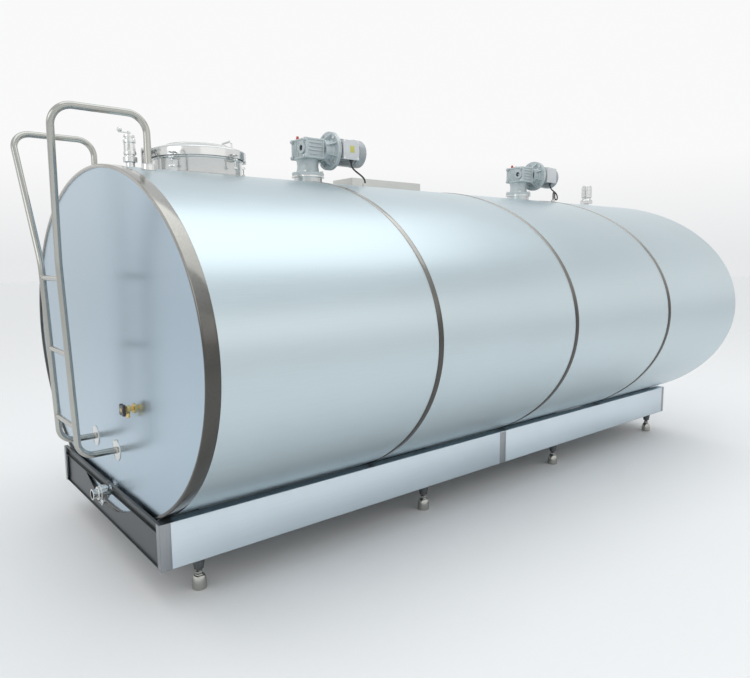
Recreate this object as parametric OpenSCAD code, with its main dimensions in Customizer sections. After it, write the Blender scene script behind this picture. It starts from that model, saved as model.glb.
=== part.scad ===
// Bulk milk tank: a closed oval cooling tank on a skirted base, with two geared agitators,
// a hinged manway, a walk-through ladder and its milk and refrigerant connections.
// Millimetres. +X runs from the outlet end to the far end, +Y is to the left facing +X, +Z is up.
// The origin is on the floor, under the middle of the whole object's box.

/* [Tank] */
// Overall width of the oval body across its raised bands
tank_w = 2200; // [1700:10:2700]
// Overall height of the oval body across its raised bands
tank_h = 1502; // [1200:2:1900]
// Length of the insulated body
tank_l = 3929; // [3270:1:4800]
// Height of the body's lowest point above the floor
belly_z = 204; // [200:1:260]
// Thickness of the outer cladding
shell_t = 2; // [1:0.5:3]
// Thickness of the foam between cladding and vessel
foam_t = 60; // [50:1:80]
// Thickness of the milk vessel's wall
vessel_t = 3; // [2:0.5:5]
// How far the bands stand proud of the cladding
band_t = 3; // [2:0.5:5]
// Width of the front edge band
edge_band_w = 51; // [40:1:70]
// Width of each narrow band over a sheet joint
band_w = 28; // [20:1:40]
// Distance of the first narrow band from the front edge
first_band_x = 1012; // [900:1:1030]
// Length of one cladding sheet, and so the spacing of the bands
sheet_l = 973; // [850:1:1100]
// Depth by which the front end plate lies inside the edge band
end_recess = 8; // [4:1:12]

/* [Manway] */
// Distance of the manway's centre from the front edge
manway_x = 500; // [470:5:600]
// Inside radius of the manway neck
neck_r = 200; // [180:1:210]
// Height of the neck above the top of the cladding
neck_h = 66; // [60:1:80]
// How far the lid reaches beyond the inside of the neck
lid_lap = 24; // [22:1:34]
// Greatest height of the lid's crown above its rim
crown_h = 42; // [30:1:50]

/* [Drives] */
// Distance of each agitator's axis from the front edge
agitator_x = [1120, 2905]; // [1060:5:3300]
// Height of the motor's axis above the top of the cladding
motor_up = 177; // [170:1:200]
// Distance between the worm's axis and the output axis
worm_offset = 50; // [46:1:60]
// Radius of the round motor flange
flange_r = 100; // [90:1:105]
// Radius of the motor's body
motor_r = 74; // [65:1:80]
// Radius of the agitator shaft
shaft_r = 15; // [12:1:20]
// Radius swept by the agitator's blades
paddle_r = 350; // [250:5:450]

/* [Base] */
// Height of the skirt's lower edge above the floor
skirt_z = 150; // [130:1:170]
// Height of the skirt
skirt_h = 184; // [160:1:200]
// Width of the ledge between the cladding and the skirt
ledge_w = 53; // [40:1:80]
// How far the body overhangs the base at the far end
overhang = 98; // [60:1:150]
// Distance of each pair of feet from the front edge
feet_x = [163, 1407, 2547, 3733]; // [120:1:4000]
// Distance of the post between the skirt's two side panels from the front edge
joint_x = 1956; // [1500:1:2400]
// Distance of the feet from the outside of the skirt
foot_inset = 76; // [60:1:90]
// Radius of a foot at the floor
foot_r = 30; // [25:1:40]

/* [Ladder] */
// Diameter of the ladder's tube
ladder_d = 28; // [22:1:36]
// Half the distance between the rails at the rungs
rail_y = 150; // [130:1:200]
// Half the distance between the handrails
hand_y = 350; // [320:5:400]
// Distance of the rails in front of the tank at the bottom
rail_out = 146; // [120:1:180]
// Height of the handrails above the floor
hand_z = 1872; // [1840:1:2000]
// Heights of the rungs above the floor
rungs_z = [620, 928, 1236]; // [600:1:1300]

/* [Connections] */
// Outside radius of the milk outlet pipe
outlet_r = 19; // [16:0.5:22]
// Distance of the inlet from the front edge
inlet_x = 205; // [180:1:220]
// Distance of the vent from the far end
vent_back = 159; // [140:1:250]
// Outside radius of the refrigerant pipes
coolant_r = 11; // [8:0.5:14]
// Length of the refrigerant pipes behind the far end
coolant_out = 80; // [50:1:120]

/* [Hidden] */
$fn = 48;

// Colours of the materials
steel = [0.78, 0.81, 0.84];
bright = [0.86, 0.86, 0.85];
dark = [0.22, 0.24, 0.25];
cast = [0.62, 0.65, 0.66];
rubber = [0.12, 0.12, 0.12];
foam = [0.93, 0.88, 0.70];

// The body's half axes, its axis and its top
half_w = tank_w / 2;
half_h = tank_h / 2;
axis_z = belly_z + half_h;
skin_w = half_w - band_t;
skin_h = half_h - band_t;
top_z = axis_z + skin_h;
wall_t = shell_t + foam_t;
facets = 96;
stave_gap = 0.003;
foam_fit = 0.02;
bands_x = [for (i = [0:2]) first_band_x + i * sheet_l];
fit_gap = 0.3;

// Steelwork of the base
base_top = skirt_z + skirt_h;
base_half = oval_y(base_top, half_w, half_h) + ledge_w;
base_end = tank_l - overhang;
panel_t = 2;
rail_h = 42;
rail_front = -14;
rail_gap = 2;
cross_top = belly_z - 4;
beam_w = 80;
socket_z = 82;
stem_r = 11;
run_fit = 0.05;
ledge_t = 3;
post_w = 30;
post_t = 3;
joint_w = 52;
inner_half = base_half - post_t;
cut_r = 720;

// Manway levels, above the top of the cladding
lid_r = neck_r + lid_lap;
rim_low = 65;
rim_high = 105;
gasket_t = 5;
hinge_back = lid_r + 22;
hinge_up = 98;
pin_r = 5;
clamp_angles = [-142, -71, 0, 71, 142];
clamp_pivot_r = lid_r + 14;
clamp_up = 52;
lid_t = 4;
crown_r = (pow(lid_r - 6, 2) + pow(crown_h, 2)) / (2 * crown_h);
handle_x = lid_r - 74;
handle_y = 50;
handle_up = 26;

// Drive unit, measured from its output axis and the top of the cladding
port_r = 75;
port_top = 42;
foot_flange_t = 16;
box_low = motor_up - 52;
box_high = motor_up + 52;
worm_face = 55;
flange_x = 107;
flange_t = 11;
body_end = 258;
cowl_end = 312;
worm_shaft_r = 9;

// Cooling plate under the vessel and its pipes
plate_t = 8;
plate_end = 200;
plate_low = axis_z - 0.45 * skin_h;
coolant_y = 120;
sleeve_t = 1;
coolant_z = oval_bottom(coolant_y, skin_w - wall_t, skin_h - wall_t) - coolant_r - 2;

// Front fittings
outlet_y = -60;
outlet_z = axis_z - (skin_h - wall_t - vessel_t) + outlet_r + 1;
sample_y = -400;
sample_z = 726;
sample_r = 8;

// Routes of the two motor cables, along the body and up from the floor
cable_r = 4.5;
cable_route_1 = [
    [1311, -131, 1829], [1311, -131, 1816], [1312, -133, 1803], [1315, -138, 1790], [1321, -147, 1778],
    [1329, -158, 1766], [1337, -170, 1755], [1344, -181, 1744], [1349, -190, 1733], [1351, -196, 1722],
    [1352, -198, 1711], [1352, -198, 1705]
];
cable_route_2 = [
    [3096, -131, 1829], [3096, -131, 1816], [3099, -132, 1803], [3107, -134, 1791], [3119, -137, 1781],
    [3133, -140, 1773], [3147, -144, 1763], [3155, -148, 1750], [3157, -152, 1736], [3151, -156, 1723],
    [3139, -160, 1715], [3124, -164, 1713], [3109, -168, 1717], [3098, -172, 1726], [3091, -176, 1738],
    [3085, -180, 1750], [3075, -184, 1759], [3062, -188, 1760], [3051, -192, 1753], [3045, -195, 1742],
    [3043, -197, 1730], [3042, -198, 1718], [3042, -198, 1705]
];
cable_entry_y = -198;
cable_entry_z = 1705;

// The ladder's rails: centre lines with rounded corners
ladder_foot_z = 497;
hand_back = 133;
flare_z = rungs_z[2] + 62;
lean = 26;
hand_front = -214;
ladder_foot_x = end_recess - 4;
hand_foot_z = oval_top(hand_y, skin_w, skin_h) + 22;
x_low = min([for (p = rail_path(1)) p[0]]) - ladder_d / 2;
x_high = tank_l + coolant_out;
mid_x = (x_low + x_high) / 2;

// Half width of an oval at a height, and height of its top at a distance from the middle
function oval_y(z, w, h) = w * sqrt(1 - pow((axis_z - z) / h, 2));
function oval_top(y, w, h) = axis_z + h * sqrt(1 - pow(y / w, 2));
function oval_bottom(y, w, h) = axis_z - h * sqrt(1 - pow(y / w, 2));
function unit(v) = v / norm(v);

// A rounded corner at b on the way from a to c
function corner(a, b, c, r, n) =
    let (u = unit(a - b), w = unit(c - b), half = acos(u * w) / 2,
         mid = b + unit(u + w) * r / sin(half),
         s = b + u * r / tan(half) - mid,
         e = b + w * r / tan(half) - mid,
         turn = 180 - 2 * half)
    [for (i = [0:n]) mid + (sin(turn * (1 - i / n)) * s + sin(turn * i / n) * e) / sin(turn)];

function rounded(points, radii, n) =
    concat([points[0]],
           [for (i = [1:len(points) - 2])
               each corner(points[i - 1], points[i], points[i + 1], radii[i - 1], n)],
           [points[len(points) - 1]]);

// Centre line of one ladder rail and handrail; side is 1 or -1
function rail_path(side) =
    rounded([[ladder_foot_x, side * rail_y, ladder_foot_z],
             [-rail_out, side * rail_y, ladder_foot_z],
             [-rail_out - lean, side * rail_y, flare_z],
             [hand_front, side * hand_y, hand_z],
             [hand_back, side * hand_y, hand_z],
             [hand_back, side * hand_y, hand_foot_z]],
            [62, 260, 72, 72], 8);

// Where a rail's centre line is at a rung's height
function rail_x(z) = -rail_out - lean * (z - ladder_foot_z) / (flare_z - ladder_foot_z);

// Puts what is measured from the front edge into the object's frame
module placed() {
    translate([-mid_x, 0, 0]) children();
}

// A prism along X with the oval outline
module oval(w, h, x0, x1) {
    translate([x0, 0, axis_z])
        rotate([90, 0, 90])
            linear_extrude(x1 - x0)
                polygon([for (i = [0:facets - 1]) [w * cos(360 * i / facets), h * sin(360 * i / facets)]]);
}

// The space that the body and its bands fill
module body_space() {
    oval(half_w, half_h, -1, tank_l + 1);
}

module along_x(x0, x1, r) {
    translate([x0, 0, 0]) rotate([0, 90, 0]) cylinder(r = r, h = x1 - x0);
}

module along_y(y0, y1, r) {
    translate([0, y0, 0]) rotate([-90, 0, 0]) cylinder(r = r, h = y1 - y0);
}

module disc(z0, z1, r) {
    translate([0, 0, z0]) cylinder(r = r, h = z1 - z0);
}

module ring(z0, z1, outer, inner) {
    difference() {
        disc(z0, z1, outer);
        disc(z0 - 1, z1 + 1, inner);
    }
}

module ring_x(x0, x1, outer, inner) {
    difference() {
        along_x(x0, x1, outer);
        along_x(x0 - 1, x1 + 1, inner);
    }
}

// A round tube swept along a path of points that never runs along the given way
module tube_along(path, r, sides, across = [0, 1, 0]) {
    last = len(path) - 1;
    way = [for (i = [0:last]) unit(path[min(i + 1, last)] - path[max(i - 1, 0)])];
    points = [for (i = [0:last])
        let (u = unit(cross(way[i], across)), v = cross(way[i], u))
        for (k = [0:sides - 1]) path[i] + r * (cos(360 * k / sides) * u + sin(360 * k / sides) * v)];
    walls = [for (i = [0:last - 1]) for (k = [0:sides - 1])
        [i * sides + k, i * sides + (k + 1) % sides, (i + 1) * sides + (k + 1) % sides, (i + 1) * sides + k]];
    ends = [[for (k = [sides - 1:-1:0]) k], [for (k = [0:sides - 1]) last * sides + k]];
    polyhedron(points, concat(walls, ends));
}

// Openings in the wall for every neck and pipe on top, and for the pipes at the front end
module wall_openings() {
    translate([manway_x, 0, axis_z]) cylinder(r = neck_r + vessel_t + fit_gap, h = tank_h);
    for (x = agitator_x) translate([x, 0, axis_z]) cylinder(r = port_r + fit_gap, h = tank_h);
    for (x = [inlet_x, tank_l - vent_back])
        translate([x, 0, axis_z]) cylinder(r = outlet_r + fit_gap, h = tank_h);
    front_openings(end_recess + wall_t + 40);
}

module front_openings(depth) {
    translate([0, outlet_y, outlet_z]) along_x(-1, depth, outlet_r + fit_gap);
    translate([0, sample_y, sample_z]) along_x(-1, depth, sample_r + fit_gap);
}

// Height at which a pipe of radius r ends just inside the vessel
function pipe_foot(r) = oval_top(r, skin_w - wall_t - vessel_t, skin_h - wall_t - vessel_t) - 5;

module outer_shell() {
    placed() color(steel) difference() {
        oval(skin_w, skin_h, end_recess, tank_l - shell_t);
        oval(skin_w - shell_t, skin_h - shell_t, end_recess - 1, tank_l + 1);
        wall_openings();
    }
}

module front_end_plate() {
    placed() color(steel) difference() {
        oval(skin_w - shell_t, skin_h - shell_t, end_recess, end_recess + shell_t);
        front_openings(20);
    }
}

module rear_end_plate() {
    placed() color(steel) difference() {
        oval(skin_w, skin_h, tank_l - shell_t, tank_l);
        coolant_holes();
    }
}

module front_edge_band() {
    placed() color(bright) difference() {
        oval(half_w, half_h, 0, edge_band_w);
        oval(skin_w, skin_h, end_recess, edge_band_w + 1);
        oval(half_w - 16, half_h - 16, -1, end_recess + 1);
    }
}

module shell_bands() {
    placed() color(bright) for (x = bands_x) difference() {
        oval(half_w, half_h, x, x + band_w);
        oval(skin_w, skin_h, x - 1, x + band_w + 1);
        wall_openings();
    }
}

// The vessel's outside
module vessel_space(x0, x1) {
    oval(skin_w - wall_t, skin_h - wall_t, x0, x1);
}

module coolant_holes() {
    for (side = [-1, 1])
        translate([0, side * coolant_y, coolant_z])
            along_x(tank_l - plate_end, tank_l + 2, coolant_r + sleeve_t + fit_gap);
}

// A point on one facet of the oval that lies inset from the cladding; share runs from 0 to 1 along it
function facet_point(i, share, inset) =
    let (a = 360 * i / facets, b = 360 * (i + 1) / facets)
    [(skin_w - inset) * ((1 - share) * cos(a) + share * cos(b)),
     (skin_h - inset) * ((1 - share) * sin(a) + share * sin(b))];

// One lengthwise stave of foam, three facets wide, with a hair of space to the next
module stave(k) {
    points = [[0, stave_gap], [0, 1], [1, 1], [2, 1 - stave_gap]];
    translate([end_recess + wall_t, 0, axis_z])
        rotate([90, 0, 90])
            linear_extrude(tank_l - end_recess - 2 * wall_t)
                polygon(concat([for (p = points)
                                    facet_point(3 * k + p[0], p[1], shell_t + foam_fit)],
                               [for (j = [3:-1:0])
                                    facet_point(3 * k + points[j][0], points[j][1], wall_t - foam_fit)]));
}

// Foam blocks: a slab at each end, and the staves between them
module insulation() {
    placed() color(foam) {
        difference() {
            oval(skin_w - shell_t, skin_h - shell_t, end_recess + shell_t, end_recess + wall_t - fit_gap);
            front_openings(end_recess + wall_t + 40);
        }
        difference() {
            oval(skin_w - shell_t, skin_h - shell_t, tank_l - wall_t + fit_gap, tank_l - shell_t);
            coolant_holes();
        }
        for (k = [0:facets / 3 - 1]) difference() {
            stave(k);
            cooling_plate_space();
            coolant_holes();
            wall_openings();
        }
    }
}

module cooling_plate_space() {
    intersection() {
        difference() {
            oval(skin_w - wall_t + plate_t, skin_h - wall_t + plate_t, plate_end, tank_l - plate_end);
            vessel_space(plate_end - 1, tank_l - plate_end + 1);
        }
        translate([0, -tank_w, 0]) cube([tank_l, 2 * tank_w, plate_low]);
    }
}

module cooling_plate() {
    placed() color(bright) cooling_plate_space();
}

module refrigerant_pipes() {
    placed() color([0.72, 0.45, 0.30]) for (side = [-1, 1]) translate([0, side * coolant_y, coolant_z]) {
        ring_x(tank_l - plate_end, tank_l + coolant_out, coolant_r, coolant_r - 1.5);
        // Sleeve round the pipe inside the tank
        ring_x(tank_l - plate_end, tank_l + 1, coolant_r + sleeve_t, coolant_r - 0.5);
    }
}

module inner_vessel() {
    placed() color(bright) difference() {
        vessel_space(end_recess + wall_t, tank_l - wall_t);
        oval(skin_w - wall_t - vessel_t, skin_h - wall_t - vessel_t,
             end_recess + wall_t + vessel_t, tank_l - wall_t - vessel_t);
        wall_openings();
    }
}

// Manway, measured from its axis and the top of the cladding
module at_manway() {
    placed() translate([manway_x, 0, top_z]) children();
}

module manway_neck() {
    at_manway() color(bright) {
        difference() {
            union() {
                disc(pipe_foot(neck_r + vessel_t) - top_z, neck_h, neck_r + vessel_t);
                disc(neck_h - 8, neck_h, neck_r + 10);
            }
            disc(-200, neck_h + 1, neck_r);
        }
    }
}

module lid_gasket() {
    at_manway() color(rubber) ring(neck_h, neck_h + gasket_t, neck_r + 9, neck_r + 1);
}

// Height of the crown's outside at a radius
function crown_z(r) = rim_high + crown_h - crown_r + sqrt(pow(crown_r, 2) - pow(r, 2));

module manway_lid() {
    under = neck_h + gasket_t + 0.2;
    inner = neck_r - 2;
    wall = lid_r - lid_t;
    at_manway() color(bright) {
        difference() {
            union() {
                // Rim, crown and the ring that rests on the gasket
                rotate_extrude($fn = 96) polygon(concat(
                    [[inner, under], [wall, under], [wall, rim_low], [lid_r, rim_low], [lid_r, rim_high]],
                    [for (k = [0:18]) let (r = (lid_r - 6) * (1 - k / 18)) [r, crown_z(r)]],
                    [for (k = [0:18]) let (r = (lid_r - 8) * k / 18) [r, crown_z(r) - lid_t]],
                    [[wall, rim_high - lid_t], [wall, under + lid_t], [inner, under + lid_t]]));
                // Strap with the hinge's knuckle
                translate([-hinge_back, -20, hinge_up - 7]) cube([hinge_back - lid_r + 1, 40, 14]);
                translate([-hinge_back, 0, hinge_up]) along_y(-20, 20, 11);
                // Bosses under the handle
                for (s = [-1, 1]) translate([handle_x, s * handle_y, rim_high + 8])
                    cylinder(r = 9, h = handle_up - 8);
            }
            translate([-hinge_back, 0, hinge_up]) along_y(-21, 21, pin_r + run_fit);
        }
        // Slotted ears for the swing bolts
        for (a = clamp_angles) rotate(a) difference() {
            translate([lid_r - 1, -13, rim_low + 5]) cube([24, 26, 8]);
            translate([clamp_pivot_r - 6, -6, rim_low]) cube([30, 12, 20]);
        }
    }
}

module lid_handle() {
    top = handle_up + 36;
    at_manway() color(bright) translate([handle_x, 0, rim_high]) tube_along(
        rounded([[0, -handle_y, handle_up], [0, -handle_y, top], [0, handle_y, top], [0, handle_y, handle_up]],
                [14, 14], 6), 5, 16, [1, 0, 0]);
}

module lid_hinge_bracket() {
    at_manway() color(bright) {
        // Two ears on a foot that follows the cladding
        difference() {
            union() {
                for (s = [-1, 1]) {
                    translate([-hinge_back, 0, hinge_up]) along_y(s * 24.5 - 4, s * 24.5 + 4, 12);
                    translate([-hinge_back - 12, s * 24.5 - 4, 0]) cube([24, 8, hinge_up]);
                }
                translate([-hinge_back - 28, -40, -8]) cube([56, 80, 14]);
            }
            translate([-hinge_back, 0, hinge_up]) along_y(-50, 50, pin_r);
            translate([-manway_x, 0, -top_z]) oval(skin_w, skin_h, 0, tank_l);
        }
    }
}

module lid_hinge_pin() {
    at_manway() color(steel) translate([-hinge_back, 0, hinge_up]) {
        along_y(-32, 32, pin_r);
        along_y(-36, -32, pin_r + 3);
        along_y(32, 36, pin_r + 3);
    }
}

module clamp_lugs() {
    at_manway() color(bright) for (a = clamp_angles) rotate(a) {
        for (s = [-1, 1]) difference() {
            translate([0, s * 8 - 3, clamp_up - 7]) cube([clamp_pivot_r + 6, 6, 14]);
            disc(-200, 200, neck_r + vessel_t);
            translate([clamp_pivot_r, 0, clamp_up]) along_y(-20, 20, 3);
            disc(neck_h - 8, neck_h + 1, neck_r + 10);
        }
        // Pivot pin
        translate([clamp_pivot_r, 0, clamp_up]) along_y(-13, 13, 3);
    }
}

// One swing bolt, hanging open, with its wing nut
module clamp_bolt(i) {
    at_manway() color(bright) rotate(clamp_angles[i - 1]) translate([clamp_pivot_r, 0, clamp_up]) {
        difference() {
            union() {
                along_y(-4, 4, 7);
                translate([0, 0, -44]) cylinder(r = 3.5, h = 40);
            }
            along_y(-5, 5, 3 + run_fit);
        }
        difference() {
            union() {
                disc(-40, -30, 8);
                translate([-3, -15, -40]) cube([6, 30, 7]);
            }
            disc(-41, -29, 3.5);
        }
    }
}

// Agitator drives, each measured from its output axis and the top of the cladding
module at_drive(i) {
    placed() translate([agitator_x[i - 1], 0, top_z]) children();
}

module agitator_ports() {
    for (i = [1:2]) at_drive(i) color(bright) difference() {
        union() {
            disc(pipe_foot(port_r) - top_z, port_top, port_r);
            disc(port_top - 10, port_top, port_r + 12);
        }
        disc(-200, port_top + 1, port_r - 3);
    }
}

// Motor axis of a drive
module at_motor(i) {
    at_drive(i) translate([0, -worm_offset, motor_up]) children();
}

module gearbox(i) {
    foot_top = port_top + foot_flange_t;
    body_w = worm_offset + 108;
    at_drive(i) color(cast) difference() {
        union() {
            disc(port_top, foot_top, port_r + 10);
            disc(foot_top - 1, box_low + 1, 60);
            // Housing, its corner ears and the round cover over the output bore
            translate([-66, -worm_offset - 38, box_low]) cube([66 + worm_face, body_w - 14, box_high - box_low]);
            for (s = [0, 1]) for (t = [0, 1])
                translate([-74, -worm_offset - 38 + s * (body_w - 34), box_low + t * (box_high - box_low - 20)])
                    cube([12, 20, 20]);
            disc(box_high - 1, box_high + 8, 38);
            for (k = [0:3]) translate([-60, -worm_offset - 42, box_low + 8 + k * 26])
                cube([108, 6, 8]);
            translate([0, -worm_offset, motor_up]) {
                along_x(-74, -60, 30);
                along_x(worm_face - 1, flange_x, 58);
                along_x(flange_x - 12, flange_x, flange_r);
            }
        }
        // Hollow for wheel and worm, the output bore and the worm's bores
        disc(motor_up - 34, motor_up + 34, 42);
        disc(port_top - 1, motor_up, 34);
        translate([0, -worm_offset, motor_up]) {
            along_x(-80, -60, 15);
            along_x(-61, -54, worm_shaft_r + run_fit);
            along_x(-55, worm_face - 8, 20);
            along_x(worm_face - 9, worm_face + 1, worm_shaft_r + run_fit);
            along_x(worm_face, flange_x + 1, 44);
        }
    }
}

module shaft_seals() {
    for (i = [1:2]) at_drive(i) color(rubber) ring(port_top + 2, port_top + 14, 34, shaft_r + run_fit);
}

module worm_wheel(i) {
    teeth = 40;
    pitch_r = worm_offset - 16;
    at_drive(i) color([0.72, 0.55, 0.25]) difference() {
        translate([0, 0, motor_up - 10]) linear_extrude(20)
            polygon([for (k = [0:4 * teeth - 1])
                let (r = pitch_r + (k % 4 < 2 ? 2 : -2)) [r * cos(90 * k / teeth), r * sin(90 * k / teeth)]]);
        disc(motor_up - 11, motor_up + 11, shaft_r);
    }
}

// Worm shaft with its worm, running through the motor to the fan
module rotor(i) {
    at_motor(i) color(steel) {
        along_x(-60.5, body_end + 26, worm_shaft_r);
        ring_x(-20, 20, 12, worm_shaft_r);
        ring_x(flange_x + 30, body_end - 24, 40, worm_shaft_r);
        // Fan
        difference() {
            union() {
                along_x(body_end + 8, body_end + 22, 18);
                along_x(body_end + 8, body_end + 11, 56);
                for (k = [0:5]) rotate([60 * k, 0, 0]) translate([body_end + 10, 16, -1.5]) cube([10, 40, 3]);
            }
            along_x(body_end, body_end + 40, worm_shaft_r);
        }
    }
}

// Motor housing with its flange and cooling fins
module motor(i) {
    bore = worm_shaft_r + run_fit;
    at_motor(i) color(cast) difference() {
        union() {
            along_x(flange_x, flange_x + flange_t, flange_r);
            along_x(flange_x + flange_t - 1, body_end, motor_r - 10);
            for (k = [0:23]) rotate([15 * k + 7.5, 0, 0])
                translate([flange_x + flange_t + 6, -1.5, 0])
                    cube([body_end - flange_x - flange_t - 9, 3, motor_r - 1]);
            along_x(body_end - 6, body_end, motor_r);
        }
        along_x(flange_x - 1, flange_x + 22, bore);
        along_x(flange_x + 20, body_end - 16, 44);
        along_x(body_end - 17, body_end + 1, bore);
        terminal_box_space();
    }
}

// Seat of the terminal box on the motor's near side
module terminal_box_space() {
    translate([128, -(motor_r + 26), -48]) cube([98, 46, 96]);
}

module fan_cowls() {
    for (i = [1:2]) at_motor(i) color(cast) difference() {
        union() {
            along_x(body_end, cowl_end - 6, motor_r + 1);
            along_x(cowl_end - 7, cowl_end, motor_r - 8);
        }
        along_x(body_end - 1, cowl_end - 4, motor_r - 1 - 8);
        for (k = [0:11]) rotate([30 * k, 0, 0]) for (r = [22, 38, 54])
            translate([cowl_end - 10, r, 0]) rotate([0, 90, 0]) cylinder(r = 4.5, h = 20, $fn = 16);
    }
}

module terminal_boxes() {
    for (i = [1:2]) at_motor(i) color(cast) {
        difference() {
            terminal_box_space();
            translate([134, -(motor_r + 20), -42]) cube([86, 34, 84]);
            translate([177, 0, 0]) translate([0, -(motor_r + 7), -60]) cylinder(r = 6, h = 30);
            along_x(0, 400, motor_r - 10);
        }
        // Lid of the box and the cable gland below it
        translate([125, -(motor_r + 32), -51]) cube([104, 6, 102]);
        translate([177 + 14, -(motor_r + 7), -51]) difference() {
            disc(0, 3, 10);
            disc(-1, 4, cable_r);
        }
    }
}

module cable_duct() {
    duct_h = 44;
    placed() color(steel) {
        // Low sheet cover along the top, behind the first drive
        difference() {
            translate([agitator_x[0] + 230, -90, top_z - 12]) cube([510, 180, duct_h + 12]);
            translate([agitator_x[0] + 233, -87, top_z - 13]) cube([504, 174, duct_h + 10]);
            oval(skin_w, skin_h, 0, tank_l);
        }
        // Bosses where the motor cables enter the body
        for (x = [1352, 3042]) difference() {
            translate([x, cable_entry_y, cable_entry_z - 30]) cylinder(r = 14, h = 30);
            oval(skin_w, skin_h, 0, tank_l);
        }
    }
}

module motor_cable(i) {
    placed() color(rubber) tube_along(i == 1 ? cable_route_1 : cable_route_2, cable_r, 10);
}

module agitator_shaft(i) {
    shaft_low = axis_z - skin_h + wall_t + vessel_t + 60 - top_z;
    at_drive(i) color(bright) disc(shaft_low, motor_up + 26, shaft_r);
}

module agitator_paddle(i) {
    paddle_z = axis_z - skin_h + wall_t + vessel_t + 110 - top_z;
    at_drive(i) color(bright) difference() {
        union() {
            disc(paddle_z - 30, paddle_z + 30, shaft_r + 8);
            for (a = [0, 180]) rotate(a) translate([paddle_r / 2, 0, paddle_z])
                rotate([35, 0, 0]) cube([paddle_r, 6, 100], center = true);
        }
        disc(paddle_z - 100, paddle_z + 100, shaft_r);
    }
}

module drive_bolts() {
    for (i = [1:2]) {
        at_drive(i) color(steel) for (a = [45:90:315]) rotate(a)
            translate([port_r, 0, port_top + foot_flange_t]) cylinder(r = 8, h = 9, $fn = 6);
        at_motor(i) color(steel) for (a = [45:90:315]) rotate([a, 0, 0])
            translate([flange_x - 20, flange_r - 14, 0]) rotate([0, 90, 0]) cylinder(r = 8, h = 8, $fn = 6);
    }
}

module breather_plugs() {
    for (i = [1:2]) at_drive(i) color([0.75, 0.15, 0.12]) translate([-48, 20, box_high]) {
        cylinder(r = 9, h = 8, $fn = 6);
        disc(8, 18, 7);
    }
}

// Connections
module inlet_valve() {
    placed() translate([inlet_x, 0, top_z]) color(bright) difference() {
        union() {
            disc(pipe_foot(outlet_r) - top_z, 150, outlet_r);
            disc(34, 56, 30);
            disc(66, 78, 27);
            disc(78, 118, 26);
            disc(118, 130, 27);
            disc(140, 150, 24);
        }
        disc(-200, 146, outlet_r - 1.5);
        disc(140, 151, 5);
    }
}

module inlet_lever() {
    placed() translate([inlet_x, 0, top_z]) color(bright) {
        disc(138, 158, 5 - run_fit);
        translate([-40, -6, 158]) cube([48, 12, 5]);
        translate([-40, 0, 170]) sphere(r = 11);
        translate([-40, 0, 160]) cylinder(r = 5, h = 8);
    }
}

module vent() {
    placed() translate([tank_l - vent_back, 0, top_z]) color(bright) difference() {
        union() {
            disc(pipe_foot(outlet_r) - top_z, 40, outlet_r);
            disc(22, 52, 46);
            disc(52, 70, 34);
            disc(70, 150, 40);
            disc(150, 164, 36);
        }
        disc(-200, 150, outlet_r - 1.5);
    }
}

module at_outlet() {
    placed() translate([0, outlet_y, outlet_z]) children();
}

module outlet_pipe() {
    at_outlet() color(bright) ring_x(-16, end_recess + wall_t + vessel_t, outlet_r, outlet_r - 1.5);
}

module outlet_valve() {
    at_outlet() color(bright) difference() {
        union() {
            along_x(-26, -16, 30);
            along_x(-50, -26, 33);
            along_x(-60, -50, 30);
            along_x(-78, -60, outlet_r + 2);
            along_x(-82, -78, 25);
            translate([-38, 0, -44]) cylinder(r = 10, h = 16);
        }
        along_x(-83, -15, outlet_r - 1.5);
        translate([-38, 0, -45]) cylinder(r = 5 + run_fit, h = 50);
    }
}

// Closing disc on its stem, with the lever under the valve
module outlet_lever() {
    at_outlet() color(bright) {
        intersection() {
            translate([-40, -17, -17]) cube([4, 34, 34]);
            along_x(-60, -15, outlet_r - 2);
        }
        translate([-38, 0, -52]) cylinder(r = 5, h = 40);
        translate([-43, -8, -58]) cube([10, 62, 6]);
    }
}

module sample_valve() {
    placed() translate([0, sample_y, sample_z]) color([0.72, 0.60, 0.30]) difference() {
        union() {
            along_x(-20, end_recess + wall_t + vessel_t, sample_r);
            along_x(end_recess - 6, end_recess, 20);
            along_x(-24, -8, 14);
            translate([-16, 0, -34]) cylinder(r = 7, h = 26);
        }
        along_x(-16, 200, 4);
        translate([-16, 0, -35]) cylinder(r = 4, h = 36);
        along_x(-25, -15, 3 + run_fit);
    }
}

// Four-lobed knob of the sample valve
module sample_knob() {
    placed() translate([0, sample_y, sample_z]) color(dark) {
        along_x(-38, -22, 3);
        difference() {
            union() {
                along_x(-44, -30, 15);
                for (a = [45:90:315]) rotate([a, 0, 0]) translate([0, 19, 0]) along_x(-44, -30, 11);
            }
            along_x(-38, -20, 3);
        }
    }
}

// Base

// The body with the bands that stand proud of its cladding
module banded_body() {
    oval(skin_w, skin_h, 0, tank_l);
    oval(half_w, half_h, -1, edge_band_w);
    for (x = bands_x) oval(half_w, half_h, x, x + band_w);
}

// Side beams, cross members and the saddle plates under the belly
module base_frame() {
    placed() color(dark) difference() {
        union() {
            for (s = [-1, 1]) translate([0, s * (inner_half - beam_w / 2) - beam_w / 2, skirt_z + 10])
                cube([base_end - panel_t, beam_w, 100]);
            for (x = feet_x) {
                translate([x - beam_w / 2, -inner_half, skirt_z + 10])
                    cube([beam_w, 2 * inner_half, cross_top - skirt_z - 10]);
                translate([x - 6, -inner_half, cross_top - 1])
                    cube([12, 2 * inner_half, base_top - ledge_t - cross_top + 1]);
            }
        }
        banded_body();
    }
}

// An upright strip on one side of the base, from x0 to x1, set in from the outside
module side_strip(side, x0, x1, inset, t, h) {
    translate([x0, side * (base_half - inset - t / 2) - t / 2, skirt_z]) cube([x1 - x0, t, h]);
}

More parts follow.
